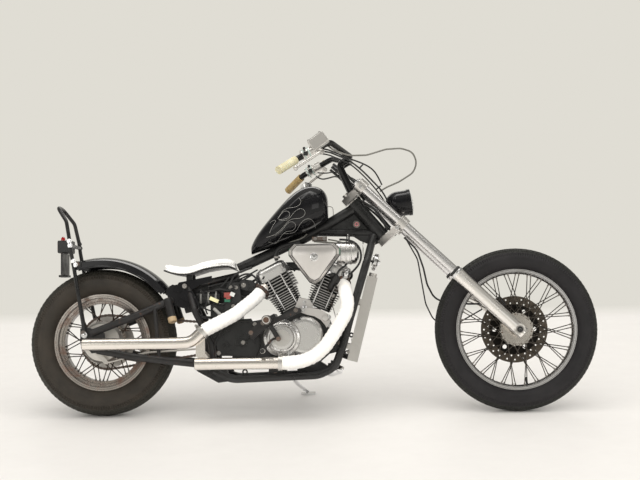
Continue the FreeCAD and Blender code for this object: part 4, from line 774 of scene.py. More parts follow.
def wheel_details():
    """Spoke nipples at both rims, the spokes' heads on the hubs, and the front valve."""
    for label, radius in (("front", 3.4), ("rear", 4.0)):
        nipple = [(radius, -3), (radius, 7), (radius * 0.72, 10), (radius * 0.68, 16)]
        head_line = SPOKES[label]["flange"] + 5.0
        nipples, heads = [], []
        for start, end in spoke_lines(**SPOKES[label]):
            side = math.copysign(1, start.y)
            nipples.append(solid_turned(nipple, end, start - end, 8))
            heads.append(solid_turned([(3.4, 0), (3.2, 1.6), (1.8, 2.6)],
                                      (start.x, side * head_line, start.z), Y * side, 8))
        piece(label + "_nipples", nipples, "nipple", label + "_wheel")
        piece(label + "_spoke_heads", heads, "old_steel", label + "_wheel")
    out = heading(math.radians(-80))
    valve = [(6.5, 0), (6.5, 4), (3.6, 6), (3.6, 24), (4.6, 25), (4.6, 33)]
    piece("front_valve", solid_turned(valve, FRONT_AXLE + out * 238, -out, 14), "black_rubber",
          "front_wheel")


# Exhausts

REAR_WRAP = [(690, -52, 536), (652, -84, 488), (572, -160, 420), (457, -188, 361), (440, -190, 351)]
FRONT_WRAP = [(1012, -46, 548), (1030, -100, 528), (1030, -150, 505), (1040, -178, 465), (1032, -178, 420),
              (1004, -182, 373), (975, -186, 327), (944, -190, 284), (904, -193, 248), (852, -196, 226),
              (790, -196, 220), (760, -196, 220)]
PIPE_BEND = 120
WRAP_RADIUS = 27.0
TAPE_WIDTH = 21.0


def tape_radius(travelled, angle):
    """Each turn of the tape overlaps the last, so the radius steps once a turn, at a crease."""
    turn = travelled / TAPE_WIDTH + angle / (2 * math.pi)
    share = turn - math.floor(turn)
    crease = 1.5 if share < 0.12 else 0.0
    wobble = 0.25 * math.sin(7 * angle + travelled * 0.09)
    return WRAP_RADIUS + 0.2 + 2.0 * (1 - share) - crease + wobble


def exhaust_wraps():
    """The tape on both pipes, which stops a little short of its path's ends."""
    shapes = [swept(rounded_path(corners, PIPE_BEND, 2.4)[5:-4], tape_radius, 40)
              for corners in (REAR_WRAP, FRONT_WRAP)]
    piece("exhaust_tape", shapes, "wrap", sharp=60)


def clamps():
    """Band clamps where the tape ends, with their screws, and the silencers' rolled lips."""
    band = [(30.2, -8), (31.6, -8), (32.0, -6), (31.0, 0), (32.0, 6), (31.6, 8), (30.2, 8)]
    bands, screws = [], []
    for end, run in ((REAR_WRAP[-1], Vector((45, 6, 43))), (FRONT_WRAP[-1], X)):
        run = run.normalized()
        ear = Vector(end) + Vector((-run.z, 0, run.x)) * 36
        bands.append(turned(band, end, run, 48))
        bands.append(solid_turned([(6, -9), (6, 9)], ear, Y, 16))
        screws.append(bolt(ear - Y * 10, -Y, 5, 5, washer=False, socket=False))
    piece("tape_clamps", bands, "satin", bevel=0.4)
    piece("tape_clamp_screws", screws, "steel")
    lip = [(19.2, 3), (19.4, -0.4), (20.5, -1.2), (23.6, -1.2), (24.8, -0.2), (24.9, 2)]
    lips = [turned(lip, (tail, -PIPE_LINE, z), X, 48) for tail, z in ((-51, 306), (411, 220))]
    piece("silencer_lips", lips, "silencer")


# Engine details

def in_cylinder(angle, x, y, z):
    """A point in a cylinder's own frame, whose Z runs up its axis."""
    turn = math.radians(angle)
    return by_crank(x * math.cos(turn) + z * math.sin(turn), y, -x * math.sin(turn) + z * math.cos(turn))


def fin_outline(half):
    """A square with cut corners, seen down a cylinder's axis."""
    flat = 0.7 * half
    return [(-flat, -half), (flat, -half), (half, -flat), (half, flat),
            (flat, half), (-flat, half), (-half, flat), (-half, -flat)]


def fin_edges():
    """The machined bright edge of every cooling fin, and the bright ribs up each cylinder's sides."""
    barrel = [(132 + 10 * index, (106 + 24 * index / 7) / 2) for index in range(8)]
    head = [(214.3 + 12.6 * index, 76) for index in range(5)]
    edge = ((-1.0, -0.05), (0.35, 0.3), (0.35, 3.3), (-1.0, 3.65))
    bands, ribs = [], []
    for angle in CYLINDER_ANGLES:
        for height, half in barrel + head:
            rings = [[in_cylinder(angle, x, y, height + rise) for x, y in fin_outline(half + inset)]
                     for inset, rise in edge]
            bands.append(skin(rings, first=False, last=False))
        for x in (-28, 30):
            for hand in HANDS:
                low, high = in_cylinder(angle, x, hand * 53, 134), in_cylinder(angle, x, hand * 65, 212)
                top = [in_cylinder(angle, x, hand * 76, z) for z in (214.3, 248, 281.3)]
                ribs += [swept(path, 4.4, 12) for path in ([low, low.lerp(high, 0.5), high], top)]
    piece("fin_edges", bands, "fin_edge", sharp=20)
    piece("fin_ribs", ribs, "bright_rod")


def head_details():
    """Head screws, exhaust flanges with studs, a plug cap with its lead, and a filler cap."""
    screws = []
    for angle in CYLINDER_ANGLES:
        up = in_cylinder(angle, 0, 0, 1) - CRANK
        for x in (-50, 50):
            for hand in HANDS:
                screws.append(bolt(in_cylinder(angle, x, hand * 77, 287), Y * hand, 6, 4))
                screws.append(bolt(in_cylinder(angle, x * 0.8, hand * 50, 333.2), up, 5.5, 3))
    piece("head_screws", screws, "bright_rod")
    flange = [(27.5, -6), (37, -6), (38, -3), (38, 5), (29, 7), (27.5, 7)]
    flanges, studs = [], []
    for place, way in (((676, -64, 518), (-38, -32, -48)), ((1017, -62, 542), (18, -54, -20))):
        way = Vector(way).normalized()
        first = basis(way)[0]
        flanges.append(turned(flange, place, way, 32))
        for sign in (-1, 1):
            studs.append(bolt(Vector(place) + first * (sign * 33) + way * 5, way, 5, 7, socket=False))
    piece("exhaust_flanges", flanges, "rusty")
    piece("flange_studs", studs, "old_steel")
    filler = solid_turned([(19, -2), (20, 4), (19, 14), (14, 22), (6, 26)], in_cylinder(24, 52, -66, 300),
                          (0.5, -1, 0.35), 28)
    piece("head_filler_cap", filler, "chrome")
    plug, way = Vector((984, -92, 560)), Vector((0.42, -0.25, 0.85)).normalized()
    cap = solid_turned([(12, -46), (14, -38), (14, 14), (11, 22), (7, 28)], plug, way, 18)
    route = [plug + way * 20, plug + way * 46, plug + way * 60 + X * 14, (1050, -70, 640), (1040, -40, 700)]
    lead = wire(route, 4.2)
    piece("plug_caps", [cap, lead], "hose")


def cover_screws():
    """Cap screws round the covers' rims and on the cases, and the clutch cover's brushed cap."""
    clutch, front, left = by_crank(-98, -105.3, -8), by_crank(-5, -105.3, -2), by_crank(-7, 105.3, -2)
    screws = []
    for index in range(9):
        out = heading(2 * math.pi * (index + 0.5) / 9)
        screws.append(bolt(clutch + out * 71 - Y * 36, -Y, 4.5, 4, washer=False))
        screws.append(bolt(left + out * 67 + Y * 20, Y, 4.5, 4, washer=False))
    for index in (-2, -1, 0, 1, 2):
        screws.append(bolt(front + heading(index * 0.62) * 74 - Y * 22, -Y, 4.5, 4, washer=False))
    for x, z in ((70, 92), (100, 40), (100, -30), (30, -112), (-150, -96), (-150, 60)):
        screws += bolt_pair(CRANK.x + x, 105, CRANK.z + z, 6, 5, socket=True)
    screws += [bolt((x, -118, z), -Y, 7, 6) for x, z in ((852, 436), (960, 405))]
    piece("cover_screws", screws, "chrome")
    plate = turned([(0.01, 0), (34, 0), (35, 1.5), (35, 2.5), (0.01, 3)], by_crank(-98, -166, -8), -Y, 40)
    piece("clutch_plate", plate, "satin")


# Small fittings

# Places of bolts that both sides have, each with a radius and a height
FRAME_BOLTS = [
    (1005, 117.5, 296, 7, 6), (965, 117.5, 296, 7, 6), (735, 117.5, 170, 7, 6), (735, 117.5, 226, 7, 6),
    (0, 136, 311.92, 12, 8), (352, 18.3, 531, 8, 7), (-98, 92, 642, 7, 6), (-62, 139, 352, 8, 6),
]


def frame_fittings():
    """Hexagon bolts on the frame, and the yokes' and the axle's screws."""
    piece("pivot_bolts", bolt_pair(430, 146, 216, 13, 9), "steel")
    bolts = [shape for row in FRAME_BOLTS for shape in bolt_pair(*row)]
    piece("frame_bolts", bolts, "old_steel")
    screws = []
    for hand in HANDS:
        for height in (28, 258):
            screws.append(bolt(on_stem(height, 60, hand * 133), Y * hand, 6, 5))
        screws.append(bolt(on_fork(0, hand) + Y * hand * 33, Y * hand, 6, 4, washer=False))
    piece("yoke_screws", screws, "bright_rod", "steering")


# Side-view places from the rear axle and the floor, for a traditional layout of licks
FLAMES = [
    [(840, 906), (852, 896), (848, 876), (828, 865), (790, 863), (768, 848), (752, 818)],
    [(752, 818), (764, 836), (778, 851), (797, 850), (805, 836), (796, 820), (776, 816), (756, 815)],
    [(756, 815), (786, 807), (806, 824), (824, 848), (846, 861), (866, 854), (868, 834), (848, 818),
     (812, 818), (794, 806), (774, 782), (750, 760), (728, 749), (702, 743)],
    [(738, 749), (768, 768), (788, 794), (806, 807), (824, 801), (828, 783), (812, 768), (786, 767),
     (768, 752), (750, 728), (732, 716), (710, 725)],
    [(774, 758), (808, 758), (828, 768), (842, 792), (862, 814), (886, 819), (904, 806), (908, 784)],
    [(717, 760), (723, 778), (736, 798), (746, 812), (732, 815), (718, 803)],
]


def flame_path(tank, places, hand):
    """A smooth line through side-view places, laid on the tank's surface from one side."""
    path = []
    for point in wire_path([(x, 0, z) for x, z in places], 10):
        start = at((point.x, hand * 300, point.z))
        spot, normal, *_ = tank.ray_cast(start, TILT @ (Y * -hand))
        if spot is not None:
            path.append(TILT.transposed() @ (spot + normal * 0.0004 - SHIFT) * 1000)
    return path


def pinstripes():
    """Thin painted flame lines on both sides of the tank."""
    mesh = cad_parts["fuel_tank"].data
    tank = BVHTree.FromPolygons([vertex.co for vertex in mesh.vertices],
                                [tuple(face.vertices) for face in mesh.polygons])
    paths = [flame_path(tank, places, hand) for hand in HANDS for places in FLAMES]
    piece("tank_pinstripes", [swept(path, 0.75, 6) for path in paths], "stripe", sharp=80)


# Steering details

def fork_details():
    """Dust seals and clips on the sliders, a black disc of painted shade in the front axle's hollow end, and
    the lamp's rim, dish and lens.
    """
    seals, clips = [], []
    for hand in HANDS:
        top = on_fork(353, hand)
        seals.append(turned([(20.7, 0), (27.5, 0), (27.5, 5), (24.5, 11), (20.7, 12)], top, FORK_UP, 32))
        clips.append(turned([(29.2, -11), (29.8, -10), (29.8, -2), (29.2, -1)], top, FORK_UP, 36))
        clips.append(solid_turned([(16, 0), (16, 3), (13, 5)], on_fork(912, hand), FORK_UP, 24))
    piece("fork_seals", seals, "black_rubber", "steering")
    piece("fork_clips", clips, "bright_rod", "steering")
    lamp_centre, ahead = on_stem(104.6, 140.8), heading(math.radians(8))
    rim = [(50.5, 54), (56, 54.2), (57, 50), (57, 44), (54.2, 40), (54.2, 36)]
    dish = [(50.5, 54.3), (44, 57.2), (34, 60.0), (22, 61.6), (10, 62.3)]
    lens = [(50.4, 54.9), (44, 58.0), (34, 60.9), (22, 62.5), (10, 63.2)]
    piece("lamp_rim", turned(rim, lamp_centre, ahead, 56), "bar_black", "steering")
    piece("lamp_dish", solid_turned(dish, lamp_centre, ahead, 40), "satin", "steering",
          sharp=70)
    piece("lamp_lens", solid_turned(lens, lamp_centre, ahead, 40), "clear_glass", "steering",
          sharp=70)
    # A black disc on the axle's end: painted shade where it is hollow.
    cap = solid_turned([(12.5, 0), (12.5, 1.4), (10.5, 1.8)], FRONT_AXLE - Y * 141.4, -Y, 28)
    piece("axle_end_shade", cap, "black_rubber", "steering")
    lugs = [bolt(on_stem(66, 132, hand * 30), Y * hand, 6, 6) for hand in HANDS]
    piece("lamp_bolts", lugs, "steel", "steering")


def bar_fittings():
    """The brake reservoir's lid and foot, bands and buttons of the switches, and brass unions."""
    tilt = Matrix.Rotation(math.radians(-36), 3, "Y")
    reservoir = on_bar(-73, -275, 56)
    lids = [box(low, high, tilt, reservoir)
            for low, high in (((-35, -21, 25), (31, 21, 27.6)), ((-36, -21, -30), (36, 21, -26.2)))]
    band = [(25.1, -3), (26.2, -2.4), (26.2, 2.4), (25.1, 3)]
    union = [(3, 0), (6.5, 0), (6.5, 10), (4.5, 11), (4.5, 18), (3.6, 20), (3.6, 30)]
    screws = [bolt(tilt @ Vector((x, y, 27.4)) + reservoir, tilt @ Z, 3.4, 1.6, washer=False)
              for x in (-30, 25) for y in (-16, 16)]
    brass, buttons, bands = [], [], []
    for hand in HANDS:
        knee, wrist = on_bar(-26, hand * 262, 56), on_bar(-157, hand * 288, -14)
        along = (wrist - knee).normalized()
        for reach in (101, 122):
            bands.append(turned(band, knee + along * reach, along))
        switch = knee + along * 112
        buttons.append(box((-9, -4, -9), (9, 1, 9), centre=switch - Y * 25))
        buttons.append(solid_turned([(6, 0), (6, 5), (4.5, 7)], switch + Vector((-6, -20, 20)),
                                    (-0.3, -0.6, 0.7), 16))
        screws.append(bolt(knee + along * 62 + Vector((24, hand * 26, -11)), Z, 6, 4, socket=False))
        brass.append(turned(union, knee + along * 60 + Vector((10, hand * 6, 16)),
                            (0.9, -hand * 0.1, 0.4), 14))
    piece("reservoir_lid", lids, "grey_paint", "steering", bevel=0.8)
    piece("reservoir_screws", screws, "steel", "steering")
    piece("cable_unions", brass, "brass", "steering")
    piece("switch_buttons", buttons, "black_plastic", "steering", bevel=1.0)
    piece("switch_bands", bands, "green_grey", "steering")


# Routes and radii of the black cables, from the controls down past the yokes
BAR_CABLES = [
    ([(979, 60, 1057), (1030, 52, 1014), (1090, 44, 950), (1120, 40, 906)], 7.0),
    ([(985, 40, 1066), (1040, 34, 1022), (1100, 28, 960), (1128, 24, 916)], 6.0),
    ([(972, 78, 1046), (1020, 70, 1004), (1080, 58, 940), (1108, 52, 896)], 6.0),
    ([(1084, 12, 896), (1146, 10, 884), (1190, 10, 826), (1226, 12, 784)], 6.0),
    ([(1096, -14, 904), (1152, -12, 872), (1186, -12, 832), (1214, -14, 770)], 5.0),
    ([(1110, 30, 890), (1168, 26, 846), (1204, 24, 796), (1250, 22, 752)], 5.0),
    ([(912, -262, 1088), (948, -262, 1094), (1000, -232, 1078), (1053, -130, 1066), (1105, -70, 1056),
      (1150, -50, 1034), (1176, -46, 1000), (1192, -46, 962)], 3.4),
    ([(918, -258, 1080), (965, -255, 1082), (1010, -220, 1066), (1050, -130, 1062), (1104, -72, 1028),
      (1160, -60, 970), (1197, -58, 930), (1214, -60, 892)], 3.6),
    ([(920, -250, 1074), (962, -248, 1072), (1014, -200, 1054), (1060, -110, 1046), (1112, -50, 1006),
      (1168, -30, 946), (1204, -30, 892)], 3.0),
    ([(906, 250, 1040), (926, 236, 1022), (960, 190, 1022), (998, 130, 1026), (1040, 80, 992),
      (1090, 44, 952), (1150, 34, 920)], 3.4),
    ([(912, 254, 1056), (944, 244, 1050), (990, 180, 1050), (1040, 110, 1028), (1100, 52, 984),
      (1160, 36, 938), (1204, 30, 900)], 3.0),
]


def bar_cables():
    """The cables that run from the bars down past the yokes, and their ties."""
    piece("bar_cables", [wire(*route) for route in BAR_CABLES], "hose", "steering")
    ties = [turned([(13, -2), (14, -2), (14, 2), (13, 2)], place, run, 20)
            for place, run in (((1105, -68, 1040), (0.7, 0, -0.7)), ((1176, -48, 950), (0.6, 0, -0.8)))]
    piece("cable_ties", ties, "black_plastic", "steering")


# Electrics and plumbing

# Routes and radii of the wires between the seat and the upper exhaust
LOOM = [
    ([(505, -60, 500), (520, -78, 486), (560, -84, 500), (590, -70, 540), (640, -50, 560),
      (700, -40, 600)], 4.0),
    ([(396, -70, 470), (430, -86, 452), (470, -90, 436), (520, -84, 430), (560, -80, 470),
      (600, -60, 500)], 3.0),
    ([(452, -76, 540), (500, -84, 552), (560, -80, 560), (610, -58, 580), (660, -44, 610)], 3.4),
    ([(604, -88, 544), (640, -84, 530), (664, -78, 560), (668, -60, 600)], 3.0),
    ([(400, -92, 500), (380, -96, 470), (392, -100, 440), (430, -98, 420)], 3.0),
    ([(548, -92, 480), (570, -94, 460), (610, -90, 470), (640, -80, 500), (660, -70, 540)], 2.6),
    ([(500, 40, 470), (540, 60, 500), (600, 50, 540), (660, 40, 580), (720, 36, 620)], 3.6),
    ([(470, -96, 520), (500, -100, 534), (540, -98, 520), (566, -90, 534), (600, -80, 566),
      (640, -64, 590)], 4.2),
    ([(420, -90, 530), (440, -98, 508), (452, -100, 476), (440, -98, 448), (452, -96, 424)], 3.4),
    ([(590, -70, 500), (616, -80, 486), (640, -84, 500), (668, -80, 540), (690, -70, 580)], 4.4),
    ([(560, -92, 412), (590, -98, 440), (610, -96, 480), (630, -90, 500)], 4.0),
    ([(1009, -70, 731), (1050, -84, 730), (1090, -92, 704), (1102, -96, 656), (1084, -96, 612),
      (1050, -84, 584)], 4.5),
    ([(752, -60, 640), (800, -90, 620), (820, -80, 600)], 3.0),
    ([(640, -84, 618), (600, -90, 604), (566, -92, 590), (551, -92, 560), (537, -90, 533),
      (512, -88, 516)], 4.6),
    ([(560, -74, 560), (586, -80, 584), (622, -82, 594), (654, -80, 580), (666, -76, 542),
      (644, -66, 500)], 4.0),
    ([(404, -84, 508), (440, -90, 520), (490, -90, 524), (520, -88, 548), (544, -84, 580)], 3.6),
    ([(470, -66, 470), (500, -80, 460), (530, -84, 470), (556, -80, 500), (566, -70, 536)], 5.0),
]
# Side-view outlines of the plates round the wiring, each with its two sides across the bike
TRAY = ([(392, 545), (470, 566), (560, 576), (640, 566), (654, 520), (612, 470), (560, 470), (470, 470),
         (400, 440), (352, 430), (340, 470), (380, 500)], -32, -27)
RAIL_CHEEK = [(306, 522), (330, 560), (396, 572), (470, 586), (470, 566), (420, 548), (372, 520)]
CHEEKS = [
    (RAIL_CHEEK, -82, -77),
    (RAIL_CHEEK, 77, 82),
    ([(272, 529), (301, 552), (352, 540), (384, 496), (384, 452), (343, 452), (292, 470)], -76, -71),
    ([(330, 500), (352, 530), (392, 520), (420, 470), (410, 440), (380, 470)], -94, -88),
]
RELAY_PLATE = ([(588, 560), (612, 566), (628, 540), (618, 520), (594, 528)], -91, -87)


def electrics():
    """The dark tray and cheeks under the seat, with looms, plugs, relays, grey bands of painted highlight
    round the coil, and screws on them.
    """
    piece("electric_tray", slab(*TRAY), "black_plastic", bevel=2.0)
    piece("rear_cheeks", [slab(*cheek) for cheek in CHEEKS], "gloss_black", bevel=1.6)
    ribs = [box((404 + 22 * index, -36, 478), (410 + 22 * index, -31, 548 + index)) for index in range(9)]
    piece("tray_ribs", ribs, "black_plastic", bevel=1.0)
    piece("looms", [wire(*route) for route in LOOM], "hose")
    turn = Matrix.Rotation(math.radians(24), 3, "Y")
    piece("pale_plug", box((-19, -7, -7), (20, 7, 8), turn, (480, -97, 484)), "yellow", bevel=1.2)
    red = [box((522, -102, 493), (551, -88, 514)), box((530, -104, 486), (548, -90, 493))]
    piece("red_plug", red, "red_plug", bevel=1.2)
    piece("green_plug", box((524, -100, 474), (548, -88, 487)), "green", bevel=1.0)
    piece("pale_clip", box((-9, -7, -8), (10, 7, 9), turn, (557, -97, 506)), "white_clip", bevel=1.0)
    sleeve = swept([Vector((478, -96, 448)), Vector((498, -97, 430)), Vector((519, -98, 412))], 7, 14)
    piece("grey_sleeve", sleeve, "grey_paint")
    # Grey rings round the black coil: a painted highlight.
    band = [(25.1, -4), (26.6, -3), (26.6, 3), (25.1, 4)]
    piece("coil_highlight_bands", [turned(band, (x, -40, 496), X) for x in (420, 452, 484)], "grey_paint")
    screws = [bolt((604, -92, 544), -Y, 7, 6), bolt((355, -88, 544), -Y, 7, 6, socket=False)]
    screws += [bolt((x, -87, z), -Y, 6, 5) for x, z in ((560, 456), (572, 536), (548, 536))]
    piece("electric_screws", screws, "steel")
    relays = [box((-20, -11, -21), (20, 11, 21), turn, (630, -73, 541)), slab(*RELAY_PLATE)]
    relays += [box((470 + 14 * index, -78.5, 404), (476 + 14 * index, -75.8, 462)) for index in range(4)]
    piece("relays", relays, "black_plastic", bevel=1.2)


# Routes and radii of the hoses and pipes
HOSES = [
    ([(743, -66, 648), (736, -70, 672), (752, -68, 698), (790, -58, 714), (840, -44, 724)], 8.5),
    ([(1000, -78, 528), (1004, -86, 552), (990, -92, 584), (968, -96, 580)], 11.0),
    ([(1030, -40, 600), (1052, -40, 592), (1052, -46, 570), (1020, -52, 556)], 12.0),
    ([(1068, 30, 236), (1040, 44, 232), (1000, 60, 252), (975, 70, 290)], 12.0),
]
THIN_PIPES = [
    ([(870, -20, 760), (850, -40, 738), (800, -52, 726), (760, -60, 700)], 3.2),
    ([(960, -24, 735), (1010, -30, 728), (1060, -26, 700), (1080, -20, 660)], 3.2),
    ([(900, -60, 726), (960, -58, 720), (1010, -52, 716), (1050, -44, 690)], 4.0),
]
HOSE_CLIPS = [((744, -66, 660), (0, 0, 1)), ((1001, -80, 536), (0.1, 0, 1)), ((1046, -40, 597), (1, 0, -0.3))]


def plumbing():
    """The breather and coolant hoses with their clips, and the fuel pipes."""
    piece("hoses", [wire(*route, 14) for route in HOSES], "hose")
    piece("thin_pipes", [wire(*route) for route in THIN_PIPES], "grey_cable")
    clip = [(12.2, -4), (13.4, -4), (13.4, 4), (12.2, 4)]
    clips = [turned(clip, place, run, 24) for place, run in HOSE_CLIPS]
    piece("hose_clips", clips, "steel")


# The air cleaner's face from the crank, and the point of it that insets shrink towards
COVER_OUTLINE = [(-62, 354), (-40, 378), (124, 378), (145, 356), (145, 334), (64, 224), (42, 213), (20, 224),
                 (-62, 332)]
COVER_MIDDLE = (41, 318)


def cover_ring(share, y):
    """The air cleaner's outline at a share of its size."""
    x0, z0 = COVER_MIDDLE
    return [by_crank(x0 + (x - x0) * share, y, z0 + (z - z0) * share) for x, z in COVER_OUTLINE]


def air_cleaner_details():
    """A line of painted shade in the cover's groove, its raised face, seal, boss and bracket, and the tape at
    its corners.
    """
    # Thin black tubes along the groove: painted shade round the cover's face.
    groove = cover_ring(0.885, -189.6)
    edge = [swept([a, a.lerp(b, 0.5), b], 1.3, 8) for a, b in zip(groove, groove[1:] + groove[:1])]
    piece("cover_groove_shade", edge, "black_rubber")
    face = skin([cover_ring(0.86, -189.4), cover_ring(0.76, -193.0)], first=False)
    piece("cover_plate", face, "cover")
    seal = [cover_ring(share, y) for share, y in ((1.03, -136), (1.045, -134), (1.045, -129), (1.0, -128))]
    piece("cover_seal", skin(seal), "black_rubber")
    boss = [(17.5, 0), (17.5, 1.6), (15.6, 3.6), (11.6, 4.4), (11.2, 3.0), (7, 3.0), (6.4, 5.6), (3, 6.4)]
    piece("cover_boss", solid_turned(boss, by_crank(41, -192.6, 322), -Y, 36), "bright_rod")
    tape = [box((799, -150, 661), (806, -128, 690)), box((1008, -150, 664), (1012, -128, 690))]
    piece("cover_tape", tape, "green", bevel=0.8)
    bracket = [box((893, -66, 727), (956, -58, 745)), box((893, -66, 727), (956, -30, 730))]
    piece("cover_bracket", bracket, "old_steel", bevel=0.8)
    piece("bracket_screws", [bolt((x, -66, 736), -Y, 5, 4) for x in (906, 944)], "steel")


# Side-view outlines of the castings on the engine's right side, each with its two sides across the bike
CASE_WEB = ([(838, 428), (846, 440), (872, 446), (914, 441), (940, 430), (961, 415), (968, 386), (950, 360),
             (944, 372), (926, 394), (900, 409), (870, 416)], -118, -105.2)
CASE_SADDLE = ([(835, 492), (881, 480), (912, 428), (922, 392), (880, 398), (838, 408), (808, 429)], -66, -58)
CASE_FOOT = ([(556, 262), (764, 262), (770, 200), (552, 206)], -103.6, -98)
SIDE_RIDGE = [(481, -119, 269), (487, -119, 312), (506, -119, 350), (538, -119, 378), (580, -119, 393),
              (628, -119, 392)]


def engine_trim():
    """Rings on the canister, the cases' webs, saddle and ribs, the side plate's ridge, and plugs."""
    rings = [turned([(49.1, -2), (50.3, -1), (50.3, 1), (49.1, 2)], (997 + 123 * share, -78, 673), X, 48)
             for share in (0.04, 0.90)]
    piece("canister_ribs", rings, "canister")
    boss = solid_turned([(15, 0), (15, 4), (12, 7), (7, 7.5)], (946, -118, 402), -Y, 28)
    piece("case_web", [slab(*CASE_WEB), boss], "cover", bevel=1.8)
    collar = [(9, 0), (16, 0), (16, 5), (9, 5)]
    ridge = [swept(rounded_path(SIDE_RIDGE, 60, 6), 5.0, 12)]
    ridge += [turned(collar, (x, -117, z), -Y, 28) for x, z in ((602, 305), (524, 296))]
    piece("case_ridge", ridge, "frame_black")
    studs = [bolt((x, -66, z), -Y, 6, 5, socket=False) for x, z in ((858, 470), (896, 444), (836, 430))]
    studs.append(solid_turned([(12, 0), (12, 10), (9, 15), (4, 17)], (858, -66, 448), -Y))
    piece("saddle_studs", studs, "bright_rod")
    piece("case_saddle", slab(*CASE_SADDLE), "cover", bevel=2.4)
    piece("case_foot", slab(*CASE_FOOT), "engine_black", bevel=2.0)
    ribs = [swept([by_crank(x, hand * 105.6, z), by_crank(x + 40, hand * 105.6, z + 4)], 2.2, 8)
            for hand in HANDS for x, z in ((-180, 30), (-176, -40))]
    piece("case_ribs", ribs, "engine_black")
    plugs = [bolt((845, -40, 173), -Z, 11, 8, socket=False), bolt((803, -106, 260), -Y, 11, 6, socket=False)]
    piece("drain_plugs", plugs, "steel")


RADIATOR_FOOT = Vector((1055, 0, 222))
RADIATOR_TURN = Matrix.Rotation(math.radians(-14.4), 3, "Y")
RADIATOR_HALF_WIDTH = 125


def on_radiator(x, y, z):
    """A point in the radiator's own frame, whose Z runs up its core."""
    return RADIATOR_FOOT + RADIATOR_TURN @ Vector((x, y, z))


def radiator_details():
    """Fine cooling fins on the core's faces, the side screws and the filler cap."""
    fins = [box((x, -117, 30 + 5.6 * row), (x + 2.8, 117, 31.4 + 5.6 * row), RADIATOR_TURN, RADIATOR_FOOT)
            for row in range(52) for x in (18.4, -21.2)]
    piece("radiator_fins", fins, "old_steel")
    screws = [bolt(on_radiator(-6, hand * RADIATOR_HALF_WIDTH, z), Y * hand, 4.5, 3)
              for z in (40, 120, 200, 280) for hand in HANDS]
    piece("radiator_screws", screws, "steel")
    cap = solid_turned([(19, 0), (20, 3), (20, 9), (16, 12)], on_radiator(0, 40 - RADIATOR_HALF_WIDTH, 376),
                       RADIATOR_TURN @ Z, 30)
    piece("radiator_cap", cap, "chrome")


# Frame details

NECK_GUSSET = ([(1042, 764), (1178, 760), (1186, 722), (1150, 706), (1096, 728)], -12, -6)
CABLE_HOOP = [(970, -118, 226), (972, -122, 196), (984, -124, 188), (996, -122, 196), (998, -118, 226)]


def frame_details():
    """The web in the neck's corner, and tabs, studs and caps along the frame's right side."""
    piece("neck_gusset", slab(*NECK_GUSSET), "frame_black", bevel=1.4)
    tabs = [turned([(4.5, -2.5), (11, -2.5), (11, 2.5), (4.5, 2.5)], (x, -118, z), Y, 20)
            for x, z in ((1053, 330), (1033, 256))]
    tabs.append(wire(CABLE_HOOP, 5.0, 12))
    tabs.append(turned([(6, -4), (12, -4), (12, 4), (6, 4)], (604, -60, 181), Y, 22))
    piece("frame_tabs", tabs, "frame_black")
    bright = [solid_turned([(6, -30), (13, -12), (16, 4), (13, 12)], (1005, -60, 186), (0.9, 0, -0.4)),
              swept([Vector((793, -152, 354)), Vector((793, -153, 290)), Vector((792, -154, 222))], 3.4, 12)]
    piece("bright_fittings", bright, "chrome")
    case = solid_turned([(10, 0), (15, 3), (15, 12), (9, 15)], (1082, -26, 797), -Y, 28)
    piece("lock_case", case, "old_steel")
    cap = turned([(5.5, 0), (8, 0), (8, 2), (5.5, 2)], (1082, -41, 797), -Y, 20)
    piece("lock_cap", cap, "pink")
    bushes = [solid_turned([(17.3, -16), (18.2, -15), (18.2, 3), (15, 6)], (310, hand * 127, 398),
                           (26, hand * 29, -92), 28) for hand in HANDS]
    piece("stub_bushes", bushes, "bush")


def fender_edges():
    """The rolled lower edges of the rear fender."""
    start, end, radius = 40, 107, 320
    arc = [REAR_AXLE + heading(math.radians(start + (end - start) * step / 60)) * radius
           for step in range(61)]
    bands = [swept([point + Y * hand * 84 for point in arc], 4.2, 10) for hand in HANDS]
    piece("fender_edges", bands, "gloss_black")


def tail_details():
    """The tail lamp's lens, a small red lamp on top, the hoop's bolts, and black discs of painted shade for
    holes in the brake plate.
    """
    lens = box((-194.6, -35, 700), (-192.4, 35, 742))
    piece("tail_lens", lens, "red_glass", bevel=1.0)
    top = solid_turned([(8, 0), (9, 3), (9, 12), (6, 18), (3, 20)], (-178, 0, 746), Z, 20)
    piece("top_lamp", top, "red_glass", sharp=60)
    bolts = bolt_pair(-58, 140, 345, 9, 6) + bolt_pair(-24, 137, 300, 8, 6)
    for x, z in ((-129, 740), (-126, 722), (-112, 655), (-104, 640)):
        bolts += bolt_pair(x, 101, z, 7, 6, socket=True)
    piece("hoop_bolts", bolts, "bright_rod")
    plate = REAR_AXLE - Y * 61.5
    # Flat black discs on the brake plate: painted shade for its holes.
    hole_shades = [solid_turned([(5.2, 0), (5.2, 0.6)], plate + heading(math.pi * index / 6) * 74, -Y, 14)
             for index in range(12)]
    piece("brake_plate_hole_shade", hole_shades, "black_rubber")


